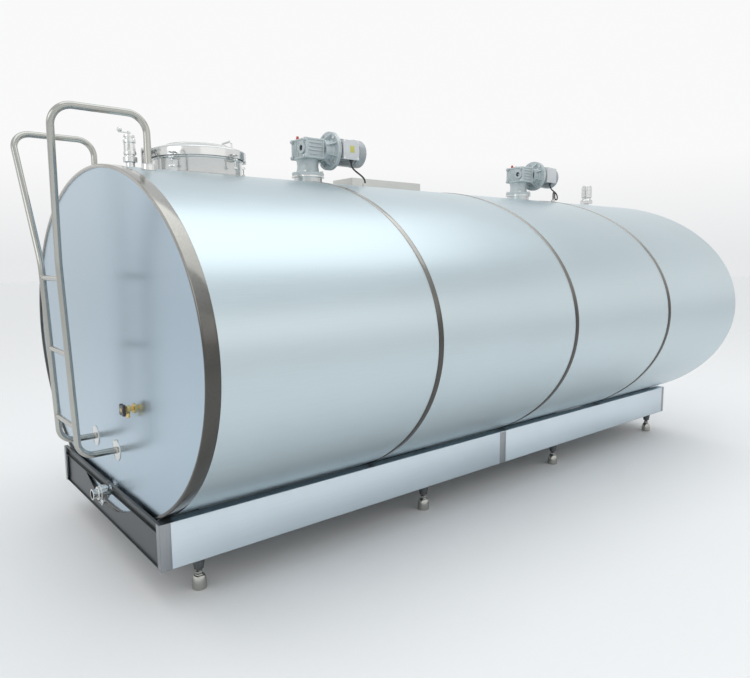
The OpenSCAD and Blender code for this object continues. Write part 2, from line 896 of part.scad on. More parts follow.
module skirt_panels() {
    placed() color(steel) {
        for (s = [-1, 1]) {
            side_strip(s, post_w - 2, joint_x - joint_w / 2, 0, panel_t, skirt_h - ledge_t);
            side_strip(s, joint_x + joint_w / 2, base_end - post_w, 0, panel_t, skirt_h - ledge_t);
        }
        // Front panel, cut to an arc below the rail
        difference() {
            translate([-rail_gap - panel_t, -base_half + post_t, skirt_z])
                cube([panel_t, 2 * (base_half - post_t), skirt_h - rail_h]);
            translate([0, 0, belly_z + 1 + cut_r]) along_x(-10, 10, cut_r);
        }
        // Rear panel, cut to the body
        difference() {
            translate([base_end - panel_t, -base_half + post_t, skirt_z])
                cube([panel_t, 2 * (base_half - post_t), skirt_h - ledge_t]);
            banded_body();
        }
    }
}

module ledge_plates() {
    placed() color(steel) difference() {
        for (s = [-1, 1]) translate([0, s * (base_half - 100) - 100, base_top - ledge_t])
            cube([base_end, 200, ledge_t]);
        body_space();
        for (s = [-1, 1]) for (x = [-10, base_end - post_w]) translate([x, s * base_half - post_t, 0])
            cube([post_w + 8, 2 * post_t, base_top + 1]);
    }
}

// Folded rail across the front end, notched for the outlet pipe
module front_rail() {
    low = base_top - rail_h;
    placed() color(dark) difference() {
        union() {
            translate([-rail_gap - panel_t, -base_half + post_t, low])
                cube([panel_t, 2 * (base_half - post_t), rail_h]);
            for (z = [low, base_top - panel_t]) translate([rail_front, -base_half + post_t, z])
                cube([-rail_gap - rail_front, 2 * (base_half - post_t), panel_t]);
        }
        translate([0, outlet_y, outlet_z]) {
            along_x(-20, 0, outlet_r + 2);
            translate([-20, -outlet_r - 2, -60]) cube([20, 2 * outlet_r + 4, 60]);
        }
    }
}

// Angles over the corners of the skirt, and the strips behind its joints
module corner_posts() {
    placed() color(dark) for (s = [-1, 1]) {
        side_strip(s, rail_front, post_w - 2, 0, post_t, skirt_h);
        side_strip(s, base_end - post_w, base_end, 0, post_t, skirt_h);
        side_strip(s, joint_x - joint_w / 2, joint_x + joint_w / 2, 1, post_t - 1, skirt_h - ledge_t);
        // Front leg of the angle
        translate([rail_front - post_t, s * (base_half - post_w / 2) - post_w / 2, skirt_z])
            cube([post_t, post_w, skirt_h]);
    }
}

module at_feet() {
    placed() for (x = feet_x) for (s = [-1, 1]) translate([x, s * (base_half - foot_inset), 0]) children();
}

module foot_sockets() {
    at_feet() color(dark) difference() {
        union() {
            translate([-75, -70, skirt_z]) cube([150, 140, 10]);
            translate([0, 0, socket_z]) cylinder(r1 = 19, r2 = 30, h = skirt_z - socket_z);
        }
        disc(socket_z - 1, skirt_z + 11, stem_r + run_fit);
    }
}

module levelling_feet() {
    at_feet() color(bright) {
        rotate_extrude() polygon(concat(
            [[0, 0], [foot_r - 3, 0], [foot_r, 3], [foot_r, 16]],
            [for (a = [0:10:90]) [18 + (foot_r - 18) * cos(a), 16 + 42 * sin(a)]],
            [[18, 64], [0, 64]]));
        disc(64, skirt_z + 8, stem_r);
    }
}

// Ladder
module ladder_rails() {
    placed() color(bright) for (side = [-1, 1]) tube_along(rail_path(side), ladder_d / 2, 20);
}

// Rungs, their ends cut to the round of the rails
module ladder_rungs() {
    tilt = atan(lean / (flare_z - ladder_foot_z));
    placed() color(bright) for (z = rungs_z) translate([rail_x(z), 0, z]) difference() {
        along_y(-rail_y, rail_y, ladder_d / 2 - 3);
        for (side = [-1, 1]) translate([0, side * rail_y, 0]) rotate([0, -tilt, 0])
            cylinder(r = ladder_d / 2, h = 80, center = true);
    }
}

// Round plates behind the rails' lower ends, and bosses under the handrails' feet
module ladder_mounts() {
    placed() color(bright) for (side = [-1, 1]) {
        translate([0, side * rail_y, ladder_foot_z]) along_x(ladder_foot_x, end_recess, 47);
        difference() {
            translate([hand_back, side * hand_y, hand_foot_z - 60]) cylinder(r = 26, h = 60);
            oval(skin_w, skin_h, 0, tank_l);
        }
    }
}

outer_shell();
front_end_plate();
rear_end_plate();
front_edge_band();
shell_bands();
insulation();
inner_vessel();
cooling_plate();
refrigerant_pipes();
manway_neck();
lid_gasket();
manway_lid();
lid_handle();
lid_hinge_bracket();
lid_hinge_pin();
clamp_lugs();
clamp_bolt(1);  // clamp_bolt_1
clamp_bolt(2);  // clamp_bolt_2
clamp_bolt(3);  // clamp_bolt_3
clamp_bolt(4);  // clamp_bolt_4
clamp_bolt(5);  // clamp_bolt_5
agitator_ports();
shaft_seals();
gearbox(1);  // gearbox_1
gearbox(2);  // gearbox_2
worm_wheel(1);  // worm_wheel_1
worm_wheel(2);  // worm_wheel_2
rotor(1);  // rotor_1
rotor(2);  // rotor_2
motor(1);  // motor_1
motor(2);  // motor_2
fan_cowls();
terminal_boxes();
motor_cable(1);  // motor_cable_1
motor_cable(2);  // motor_cable_2
agitator_shaft(1);  // agitator_shaft_1
agitator_shaft(2);  // agitator_shaft_2
agitator_paddle(1);  // agitator_paddle_1
agitator_paddle(2);  // agitator_paddle_2
drive_bolts();
breather_plugs();
inlet_valve();
inlet_lever();
vent();
outlet_pipe();
outlet_valve();
outlet_lever();
sample_valve();
sample_knob();
base_frame();
skirt_panels();
ledge_plates();
front_rail();
corner_posts();
foot_sockets();
levelling_feet();
ladder_rails();
ladder_rungs();
ladder_mounts();
cable_duct();
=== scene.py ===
"""Looks of a bulk milk tank: a closed oval cooling tank on a skirted base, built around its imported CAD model.

Shapes are written in millimetres from a named origin and placed in the frame in metres. Most origins and the
overall sizes are read from the CAD nodes' boxes.
"""

import math

import bmesh
import bpy
from mathutils import Matrix, Vector


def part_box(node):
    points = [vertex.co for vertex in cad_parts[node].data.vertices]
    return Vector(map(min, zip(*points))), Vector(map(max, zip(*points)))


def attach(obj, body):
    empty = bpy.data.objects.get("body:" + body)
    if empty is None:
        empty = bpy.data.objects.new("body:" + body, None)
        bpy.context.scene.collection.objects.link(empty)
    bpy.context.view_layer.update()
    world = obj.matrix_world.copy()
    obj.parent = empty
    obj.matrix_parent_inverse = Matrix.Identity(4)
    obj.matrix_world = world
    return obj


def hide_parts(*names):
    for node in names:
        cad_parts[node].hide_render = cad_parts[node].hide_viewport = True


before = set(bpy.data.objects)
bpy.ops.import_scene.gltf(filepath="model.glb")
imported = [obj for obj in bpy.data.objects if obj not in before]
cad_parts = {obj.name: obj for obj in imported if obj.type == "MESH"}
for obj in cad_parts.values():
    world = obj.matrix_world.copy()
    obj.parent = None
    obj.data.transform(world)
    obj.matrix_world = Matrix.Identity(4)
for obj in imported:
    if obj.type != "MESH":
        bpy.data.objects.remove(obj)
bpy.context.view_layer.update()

MM = 0.001

# Driving sizes read from the frame, in millimetres, but for the boxes and FRONT_X, which are in metres
band_low, band_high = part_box("front_edge_band")
skin_low, skin_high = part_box("outer_shell")
FRONT_X = band_low.x
HALF_W = (band_high.y - band_low.y) / 2 / MM
HALF_H = (band_high.z - band_low.z) / 2 / MM
SKIN_W = (skin_high.y - skin_low.y) / 2 / MM
SKIN_H = (skin_high.z - skin_low.z) / 2 / MM
AXIS_Z = (band_high.z + band_low.z) / 2 / MM
TOP_Z = skin_high.z / MM
LENGTH = (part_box("rear_end_plate")[1].x - FRONT_X) / MM
EDGE_BAND_W = (band_high.x - band_low.x) / MM
RECESS = (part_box("front_end_plate")[0].x - FRONT_X) / MM
SHELL_T = (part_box("front_end_plate")[1].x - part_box("front_end_plate")[0].x) / MM
OVAL_POINTS = 288


def centre(node):
    """Middle of a CAD node's box, in millimetres from the front edge, the middle plane and the floor."""
    low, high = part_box(node)
    mid = (low + high) / 2
    return Vector(((mid.x - FRONT_X) / MM, mid.y / MM, mid.z / MM))


def edges_x(node):
    """Lowest and highest X of a CAD node, in millimetres from the front edge."""
    low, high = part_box(node)
    return (low.x - FRONT_X) / MM, (high.x - FRONT_X) / MM


MANWAY_X = centre("manway_neck").x
DRIVES_X = [centre(f"agitator_shaft_{i}").x for i in (1, 2)]
MOTOR_Y, MOTOR_Z = centre("rotor_1").y, centre("rotor_1").z - TOP_Z
INLET_X = centre("inlet_lever").x
VENT_X = centre("vent").x
OUTLET_Y, OUTLET_Z = centre("outlet_pipe").y, centre("outlet_pipe").z
SAMPLE_Y, SAMPLE_Z = centre("sample_knob").y, centre("sample_knob").z

# Ladder, manway, drives and base, in millimetres
LADDER_R = 13.9
RAIL_Y, HAND_Y = 150.0, 350.0
RAIL_OUT, LEAN = 146.0, 26.0
HAND_FRONT, HAND_BACK, HAND_Z = -214.0, 133.0, 1872.0
RAIL_FOOT_Z, FLARE_Z = 497.0, 1298.0
RUNGS_Z = (620.0, 928.0, 1236.0)
RAIL_BENDS = (62.0, 260.0, 72.0, 72.0)
NECK_R, LID_R = 203.0, 224.0
RIM_LOW, RIM_HIGH, CROWN = 65.0, 105.0, 42.0
HINGE_BACK, HINGE_UP = 246.0, 98.0
CLAMP_R, CLAMP_UP = 238.0, 52.0
CLAMP_ANGLES = (-142, -71, 0, 71, 142)
BOX_LOW, BOX_HIGH = MOTOR_Z - 52, MOTOR_Z + 52
FLANGE_X, FLANGE_R, MOTOR_R = 107.0, 100.0, 74.0
JOINT_X = 1956.0
FEET_X = (163.0, 1407.0, 2547.0, 3733.0)
PORT_R, PIPE_R = 75.0, 19.0  # agitator ports; inlet and vent
SEAT_GAP = 0.3  # round the neck, the ports and the pipes in the cladding
VESSEL_IN, PIPE_IN = 65.0, 5.0  # the vessel's inside below the cladding; how far pipes reach into it
BAND_W = 28.0  # each narrow joint band


# ---------------------------------------------------------------- camera

def look(position, yaw, pitch, roll, lens):
    """Camera at a position in millimetres from the front edge. It looks along +Y, turned to +X
    by yaw, then down by pitch, and it is tilted by roll."""
    forward = Vector((math.cos(pitch) * math.sin(yaw), math.cos(pitch) * math.cos(yaw), -math.sin(pitch)))
    flat = Vector((math.cos(yaw), -math.sin(yaw), 0))
    down = forward.cross(flat)
    right = math.cos(roll) * flat + math.sin(roll) * down
    up = math.sin(roll) * flat - math.cos(roll) * down
    data = bpy.data.cameras.new("camera")
    data.lens = lens
    data.sensor_width = 36
    data.clip_end = 100
    camera = bpy.data.objects.new("camera", data)
    bpy.context.scene.collection.objects.link(camera)
    m = Matrix((right, up, -forward)).transposed().to_4x4()
    m.translation = Vector((FRONT_X, 0, 0)) + Vector(position) * MM
    camera.matrix_world = m
    bpy.context.scene.camera = camera


look((-814.4, -2907.1, 1310.5), yaw=0.68815, pitch=0.12728, roll=0.0072, lens=30.43)


# ---------------------------------------------------------------- materials

def shader(name, colour, metallic, roughness, grain=200, mottle=3.0, shade=0.06,
           rough_shade=0.05, bump=0.0002, wave=0.0, wave_scale=1.5, coat=0.0, painted_shade=None):
    """A procedural material: fine grain, soft mottling and, for sheet metal, a slow waviness of the surface.

    Painted shade (lower height, upper height, share) darkens the colour to that share at and below the lower
    height, and not at all above the upper one: a painted shade for the darker lower side of a shiny part.
    Heights are in metres."""
    mat = bpy.data.materials.new(name)
    mat.use_nodes = True
    nodes, links = mat.node_tree.nodes, mat.node_tree.links
    bsdf = nodes["Principled BSDF"]
    bsdf.inputs["Metallic"].default_value = metallic
    bsdf.inputs["Coat Weight"].default_value = coat
    bsdf.inputs["Coat Roughness"].default_value = 0.15
    where = nodes.new("ShaderNodeTexCoord")
    stretch = nodes.new("ShaderNodeMapping")
    stretch.inputs["Scale"].default_value = grain if isinstance(grain, tuple) else (grain,) * 3
    links.new(where.outputs["Object"], stretch.inputs["Vector"])
    fine = nodes.new("ShaderNodeTexNoise")
    fine.inputs["Scale"].default_value = 1.0
    fine.inputs["Detail"].default_value = 3.0
    links.new(stretch.outputs["Vector"], fine.inputs["Vector"])
    broad = nodes.new("ShaderNodeTexNoise")
    broad.inputs["Scale"].default_value = mottle
    broad.inputs["Detail"].default_value = 4.0
    links.new(where.outputs["Object"], broad.inputs["Vector"])
    both = nodes.new("ShaderNodeMath")
    both.operation = "ADD"
    links.new(fine.outputs["Fac"], both.inputs[0])
    links.new(broad.outputs["Fac"], both.inputs[1])
    ramp = nodes.new("ShaderNodeValToRGB")
    ramp.color_ramp.elements[0].position = 0.3
    ramp.color_ramp.elements[1].position = 0.8
    dark = [c * (1 - shade) for c in colour]
    light = [min(1.0, c * (1 + shade)) for c in colour]
    ramp.color_ramp.elements[0].color = (*dark, 1)
    ramp.color_ramp.elements[1].color = (*light, 1)
    half = nodes.new("ShaderNodeMath")
    half.operation = "MULTIPLY"
    half.inputs[1].default_value = 0.5
    links.new(both.outputs[0], half.inputs[0])
    links.new(half.outputs[0], ramp.inputs["Fac"])
    # Painted shade: the colour grows darker towards the bottom, by height
    if painted_shade:
        split = nodes.new("ShaderNodeSeparateXYZ")
        links.new(where.outputs["Object"], split.inputs[0])
        rise = nodes.new("ShaderNodeMapRange")
        rise.inputs["From Min"].default_value, rise.inputs["From Max"].default_value = painted_shade[:2]
        rise.inputs["To Min"].default_value = painted_shade[2]
        links.new(split.outputs["Z"], rise.inputs["Value"])
        shading = nodes.new("ShaderNodeVectorMath")
        shading.operation = "SCALE"
        links.new(ramp.outputs["Color"], shading.inputs[0])
        links.new(rise.outputs["Result"], shading.inputs["Scale"])
        links.new(shading.outputs["Vector"], bsdf.inputs["Base Color"])
    else:
        links.new(ramp.outputs["Color"], bsdf.inputs["Base Color"])
    rough = nodes.new("ShaderNodeMapRange")
    rough.inputs["From Min"].default_value = 0.3
    rough.inputs["From Max"].default_value = 0.7
    rough.inputs["To Min"].default_value = max(0.02, roughness - rough_shade)
    rough.inputs["To Max"].default_value = roughness + rough_shade
    links.new(half.outputs[0], rough.inputs["Value"])
    links.new(rough.outputs["Result"], bsdf.inputs["Roughness"])
    relief = nodes.new("ShaderNodeBump")
    relief.inputs["Strength"].default_value = 1.0
    relief.inputs["Distance"].default_value = bump
    links.new(fine.outputs["Fac"], relief.inputs["Height"])
    if wave:
        slow = nodes.new("ShaderNodeTexNoise")
        slow.inputs["Scale"].default_value = wave_scale
        slow.inputs["Detail"].default_value = 1.0
        links.new(where.outputs["Object"], slow.inputs["Vector"])
        sway = nodes.new("ShaderNodeBump")
        sway.inputs["Strength"].default_value = 1.0
        sway.inputs["Distance"].default_value = wave
        links.new(slow.outputs["Fac"], sway.inputs["Height"])
        links.new(sway.outputs["Normal"], relief.inputs["Normal"])
    links.new(relief.outputs["Normal"], bsdf.inputs["Normal"])
    return mat


SHEET = shader("sheet_steel", (0.58, 0.67, 0.705), 1.0, 0.34, grain=(6, 500, 500), mottle=1.2, shade=0.05,
               bump=0.00002, wave=0.004, wave_scale=0.9)
END = shader("end_steel", (0.46, 0.57, 0.66), 1.0, 0.24, grain=(500, 500, 6), mottle=1.5, shade=0.05,
             bump=0.00002, wave=0.003, wave_scale=1.4)
BRIGHT = shader("bright_steel", (0.70, 0.71, 0.70), 1.0, 0.16, grain=300, mottle=14, shade=0.08,
                bump=0.00002)
TUBE = shader("tube_steel", (0.46, 0.46, 0.43), 1.0, 0.18, grain=300, mottle=14, shade=0.08,
              bump=0.00002)
# The bands' colour darkens towards their bottom as painted shade, for the dark reflection their lower side
# shows.
BAND = shader("band_steel", (0.46, 0.45, 0.42), 1.0, 0.16, grain=120, mottle=7, shade=0.12,
              bump=0.00002, wave=0.002, wave_scale=5, painted_shade=(1.05, 1.5, 0.22))
SKIRT = shader("skirt_steel", (0.66, 0.74, 0.80), 1.0, 0.36, grain=(6, 400, 400), mottle=2, shade=0.05,
               bump=0.00002, wave=0.003, wave_scale=2)
# Dark steel whose darkness is partly painted shade: on the front panel and the front rail it stands in for the
# shade of faces turned away from the light.
DARK_AND_SHADED = shader("dark_steel", (0.125, 0.135, 0.14), 0.9, 0.42, grain=200, mottle=6, shade=0.2,
              bump=0.00008)
VESSEL = shader("vessel_steel", (0.66, 0.67, 0.68), 1.0, 0.28, grain=(8, 300, 300), mottle=4, shade=0.06,
                bump=0.00002)
WELD = shader("weld_bead", (0.58, 0.57, 0.54), 1.0, 0.3, grain=300, mottle=90, shade=0.25,
              bump=0.0006)
CAST = shader("cast_enamel", (0.50, 0.56, 0.575), 0.25, 0.42, grain=380, mottle=22, shade=0.12,
              bump=0.0004, coat=0.25)
MOTOR = shader("motor_enamel", (0.50, 0.53, 0.54), 0.55, 0.34, grain=400, mottle=20, shade=0.1,
               bump=0.0002, coat=0.2)
COWL = shader("cowl_enamel", (0.38, 0.41, 0.43), 0.4, 0.4, grain=400, mottle=20, shade=0.12,
              bump=0.0001, coat=0.2)
PALE = shader("box_enamel", (0.62, 0.64, 0.66), 0.1, 0.4, grain=400, mottle=25, shade=0.08,
              bump=0.0001, coat=0.2)
YELLOW = shader("patch_yellow", (0.58, 0.56, 0.16), 0.0, 0.45, grain=200, mottle=60, shade=0.08)
BLACK = shader("black_rubber", (0.025, 0.025, 0.027), 0.0, 0.6, grain=500, mottle=30, shade=0.3,
               bump=0.0002)
PLASTIC = shader("black_plastic", (0.03, 0.03, 0.03), 0.0, 0.3, grain=500, mottle=40, shade=0.25,
                 bump=0.0001, coat=0.3)
RED = shader("red_plug", (0.55, 0.05, 0.03), 0.0, 0.35, grain=300, mottle=60, shade=0.15)
BRASS = shader("brass", (0.72, 0.54, 0.22), 1.0, 0.24, grain=300, mottle=40, shade=0.15,
               bump=0.00005)
COPPER = shader("copper", (0.72, 0.40, 0.26), 1.0, 0.3, grain=(30, 300, 300), mottle=30, shade=0.2,
                bump=0.00005)
FOAM = shader("foam", (0.80, 0.70, 0.42), 0.0, 0.85, grain=150, mottle=20, shade=0.15, bump=0.002)
DUCT = shader("duct_steel", (0.62, 0.63, 0.60), 1.0, 0.4, grain=(6, 300, 300), mottle=5, shade=0.1,
              bump=0.00003)
# Posts darker than the skirts: painted shade for faces turned away from the light.
SHADED_POST = shader("shaded_post_steel", (0.33, 0.35, 0.37), 1.0, 0.3, grain=(200, 200, 8), mottle=8, shade=0.12,
              bump=0.00004)


# ---------------------------------------------------------------- mesh building

def basis(origin, z=(0, 0, 1), x=(1, 0, 0)):
    """Matrix that puts local Z along z, and local X as near x as it goes, at an origin."""
    z = Vector(z).normalized()
    x = Vector(x)
    x = (x - z * x.dot(z)).normalized()
    m = Matrix((x, z.cross(x), z)).transposed().to_4x4()
    m.translation = Vector(origin)
    return m


def along_x(x=0.0, y=0.0, z=0.0):
    return basis((x, y, z), z=(1, 0, 0), x=(0, 1, 0))


def spin(degrees, axis="Z"):
    return Matrix.Rotation(math.radians(degrees), 4, axis)


def circle(r, n):
    """Points of a circle as pairs."""
    return [(r * math.cos(2 * math.pi * k / n), r * math.sin(2 * math.pi * k / n)) for k in range(n)]


def around(degrees, r, z=0.0):
    """A place at a radius and an angle about local Z."""
    return spin(degrees) @ Matrix.Translation((r, 0, z))


class Form:
    """A mesh under construction, in millimetres."""

    def __init__(self):
        self.bm = bmesh.new()

    def rings(self, rings, caps=(True, True), closed=False, m=None):
        """Skins rings of points with quads; closed joins the last ring to the first."""
        rows = [[self.bm.verts.new(m @ Vector(p) if m else p) for p in ring] for ring in rings]
        n = len(rows[0])
        pairs = list(zip(rows, rows[1:])) + ([(rows[-1], rows[0])] if closed else [])
        for a, b in pairs:
            for k in range(n):
                j = (k + 1) % n
                self.bm.faces.new((a[k], a[j], b[j], b[k]))
        if not closed:
            for row, wanted in ((rows[0][::-1], caps[0]), (rows[-1], caps[1])):
                if wanted:
                    self.bm.faces.new(row)

    def turn(self, profile, m=None, n=64, closed=False):
        """Turns a profile of (radius, height) about local Z."""
        self.rings([[Vector((x, y, h)) for x, y in circle(r, n)] for r, h in profile], (False, False),
                   closed, m)

    def disc(self, z0, z1, r, m=None, edge=1.0, n=48):
        """A round body with softened edges."""
        e = min(edge, r / 3, (z1 - z0) / 3)
        self.turn([(0, z0), (r - e, z0), (r - 0.3 * e, z0 + 0.3 * e), (r, z0 + e), (r, z1 - e),
                   (r - 0.3 * e, z1 - 0.3 * e), (r - e, z1), (0, z1)], m, n)

    def collar(self, z0, z1, outer, inner, m=None, edge=1.0, n=64):
        """A round ring with softened outer edges."""
        e = min(edge, (z1 - z0) / 3)
        self.turn([(inner, z0), (outer - e, z0), (outer, z0 + e), (outer, z1 - e), (outer - e, z1),
                   (inner, z1)],
                  m, n, closed=True)

    def block(self, low, high, m=None, edge=1.5, steps=2):
        """A box between two corners with rounded edges."""
        low, high = Vector(low), Vector(high)
        size = high - low
        place = Matrix.Translation((low + high) / 2) @ Matrix.Diagonal((*size, 1))
        made = bmesh.ops.create_cube(self.bm, size=1, matrix=(m or Matrix.Identity(4)) @ place)
        if edge:
            sides = {e for v in made["verts"] for e in v.link_edges}
            bmesh.ops.bevel(self.bm, geom=list(sides), offset=min(edge, min(size) / 2.2), segments=steps,
                            profile=0.5, affect="EDGES")

    def side_block(self, side, low, high, edge):
        """A block between two corners whose Y is counted from the middle plane towards side, -1 or 1."""
        y0, y1 = sorted((side * low[1], side * high[1]))
        self.block((low[0], y0, low[2]), (high[0], y1, high[2]), edge=edge)

    def prism(self, outline, z0, z1, m=None, edge=0.0):
        """An outline pushed along local Z, with its two rims softened."""
        rows = [(0, z0), (0, z1)] if not edge else [(edge, z0), (0, z0 + edge), (0, z1 - edge), (edge, z1)]
        middle = Vector((sum(p[0] for p in outline), sum(p[1] for p in outline))) / len(outline)
        rings = []
        for inset, z in rows:
            ring = []
            for p in outline:
                v = Vector(p) - middle
                v = middle + v * (1 - inset / max(v.length, 1e-6))
                ring.append(Vector((v.x, v.y, z)))
            rings.append(ring)
        self.rings(rings, m=m)

    def hexagon(self, z0, z1, r, m=None):
        """A bolt's head or a nut with a chamfered top."""
        ring = [Vector((r * math.cos(math.radians(60 * k)), r * math.sin(math.radians(60 * k)), 0))
                for k in range(6)]
        rows = [[p + Vector((0, 0, z0)) for p in ring],
                [p + Vector((0, 0, z1 - 0.12 * r)) for p in ring],
                [p * 0.88 + Vector((0, 0, z1)) for p in ring]]
        self.rings(rows, m=m)

    def tube(self, path, r, n=24, closed=False, m=None):
        """A round tube along a path, carried without twist."""
        path = [Vector(p) for p in path]
        last = len(path) - 1
        ways = []
        for i in range(len(path)):
            before = path[i - 1] if i or closed else path[0]
            after = path[(i + 1) % len(path)] if i < last or closed else path[last]
            ways.append((after - before).normalized())
        side = ways[0].orthogonal().normalized()
        rings = []
        for i, p in enumerate(path):
            side = (side - ways[i] * side.dot(ways[i])).normalized()
            other = ways[i].cross(side)
            rings.append([p + r * (a * side + b * other) for a, b in circle(1, n)])
        if closed:
            rings.append(rings[0])
        self.rings(rings, (not closed, not closed), False, m)

    def ball(self, at, r, n=32):
        rows = [(r * math.sin(math.pi * k / 16), -r * math.cos(math.pi * k / 16)) for k in range(17)]
        self.turn(rows, Matrix.Translation(at), n)

    def mesh(self, name, place, sharp):
        bmesh.ops.remove_doubles(self.bm, verts=self.bm.verts, dist=1e-4)
        bmesh.ops.recalc_face_normals(self.bm, faces=self.bm.faces)
        self.bm.transform(place @ Matrix.Diagonal((MM, MM, MM, 1)))
        mesh = bpy.data.meshes.new(name)
        self.bm.to_mesh(mesh)
        self.bm.free()
        mesh.polygons.foreach_set("use_smooth", [True] * len(mesh.polygons))
        mesh.set_sharp_from_angle(angle=math.radians(sharp))
        return mesh

    def piece(self, name, place, replaces=(), slot="bright_steel", mat=BRIGHT, body="tank"):
        """Ends the mesh: puts it in the frame and says what it rides on and stands for."""
        made = bpy.data.objects.new(name, self.mesh(name, place, 32))
        bpy.context.scene.collection.objects.link(made)
        made.data.materials.append(mat)
        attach(made, body)
        if replaces:
            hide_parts(*replaces)
        return made


def place(x=0.0, y=0.0, z=0.0):
    """An origin in millimetres from the front edge, the middle plane and the floor."""
    return Matrix.Translation((FRONT_X + x * MM, y * MM, z * MM))


FRONT = place()
MANWAY = place(MANWAY_X, 0, TOP_Z)
DRIVES = [place(x, 0, TOP_Z) for x in DRIVES_X]
MOTORS = [place(x, MOTOR_Y, TOP_Z + MOTOR_Z) for x in DRIVES_X]


def oval_ring(x, inset, w=SKIN_W, h=SKIN_H, n=OVAL_POINTS):
    """The body's outline at x, drawn in by inset."""
    return [Vector((x, (w - inset) * a, AXIS_Z + (h - inset) * b)) for a, b in circle(1, n)]


def oval_top(y, inset=0.0):
    return AXIS_Z + (SKIN_H - inset) * math.sqrt(1 - (y / (SKIN_W - inset)) ** 2)


def pipe_foot(r):
    """Height of the foot of an upright pipe that reaches into the vessel, from the top of the body."""
    return oval_top(r, VESSEL_IN) - PIPE_IN - TOP_Z


def seam(form, x, y, r, bead, lift=1.0, n=72):
    """A bead of weld where an upright pipe of radius r meets the cladding."""
    form.tube([Vector((x + a, y + b, oval_top(y + b) + lift)) for a, b in circle(r, n)], bead, 12,
              closed=True)


def smooth_as_oval(obj):
    """Gives the faces that lie on the oval its true normals, so that holes leave no mark in reflections."""
    mesh = obj.data
    normals = [None] * len(mesh.loops)
    for poly in mesh.polygons:
        for k in poly.loop_indices:
            p = mesh.vertices[mesh.loops[k].vertex_index].co
            n = Vector((0, p.y / SKIN_W ** 2, (p.z - AXIS_Z * MM) / SKIN_H ** 2)).normalized()
            along = n.dot(poly.normal)
            normals[k] = n if along > 0.97 else -n if along < -0.97 else Vector(poly.normal)
    mesh.normals_split_custom_set(normals)


def cut_round(obj, holes):
    """Cuts upright round holes (x, y, radius, lowest z, highest z), in millimetres, through a piece."""
    for x, y, r, z0, z1 in holes:
        cutter = Form()
        cutter.turn([(0, z0), (r, z0), (r, z1), (0, z1)], n=96)
        tool = bpy.data.objects.new("cutter", cutter.mesh("cutter", place(x, y, 0), 30))
        bpy.context.scene.collection.objects.link(tool)
        cut = obj.modifiers.new("cut", "BOOLEAN")
        cut.operation = "DIFFERENCE"
        cut.solver = "EXACT"
        cut.object = tool
        bpy.context.view_layer.update()
        done = bpy.data.meshes.new_from_object(obj.evaluated_get(bpy.context.evaluated_depsgraph_get()))
        obj.modifiers.clear()
        obj.data = done
        bpy.data.objects.remove(tool)


# ---------------------------------------------------------------- the motors' cables

CABLE_R = 4.5
CABLE_ROUTES = [
    [(1311, -131, 1829), (1311, -131, 1816), (1312, -133, 1803), (1315, -138, 1790), (1321, -147, 1778),
     (1329, -158, 1766), (1337, -170, 1755), (1344, -181, 1744), (1349, -190, 1733), (1351, -196, 1722),
     (1352, -198, 1711), (1352, -198, 1705)],
    [(3096, -131, 1829), (3096, -131, 1816), (3099, -132, 1803), (3107, -134, 1791), (3119, -137, 1781),
     (3133, -140, 1773), (3147, -144, 1763), (3155, -148, 1750), (3157, -152, 1736), (3151, -156, 1723),
     (3139, -160, 1715), (3124, -164, 1713), (3109, -168, 1717), (3098, -172, 1726), (3091, -176, 1738),
     (3085, -180, 1750), (3075, -184, 1759), (3062, -188, 1760), (3051, -192, 1753), (3045, -195, 1742),
     (3043, -197, 1730), (3042, -198, 1718), (3042, -198, 1705)],
]


def curve_through(points, steps=5):
    """A smooth line through points."""
    points = [Vector(p) for p in points]
    ends = [2 * points[0] - points[1]] + points + [2 * points[-1] - points[-2]]
    line = []
    for i in range(1, len(ends) - 2):
        a, b, c, d = ends[i - 1:i + 3]
        for k in range(steps):
            t = k / steps
            line.append(0.5 * ((2 * b) + (c - a) * t + (2 * a - 5 * b + 4 * c - d) * t ** 2
                               + (3 * b - a - 3 * c + d) * t ** 3))
    return line + [points[-1]]


for i, route in enumerate(CABLE_ROUTES, 1):
    line = curve_through(route)
    form = Form()
    form.tube(line, CABLE_R, 20)
    cable = form.piece(f"motor_cable_{i}_sheath", FRONT, [f"motor_cable_{i}"], "rubber", BLACK)


# ---------------------------------------------------------------- body

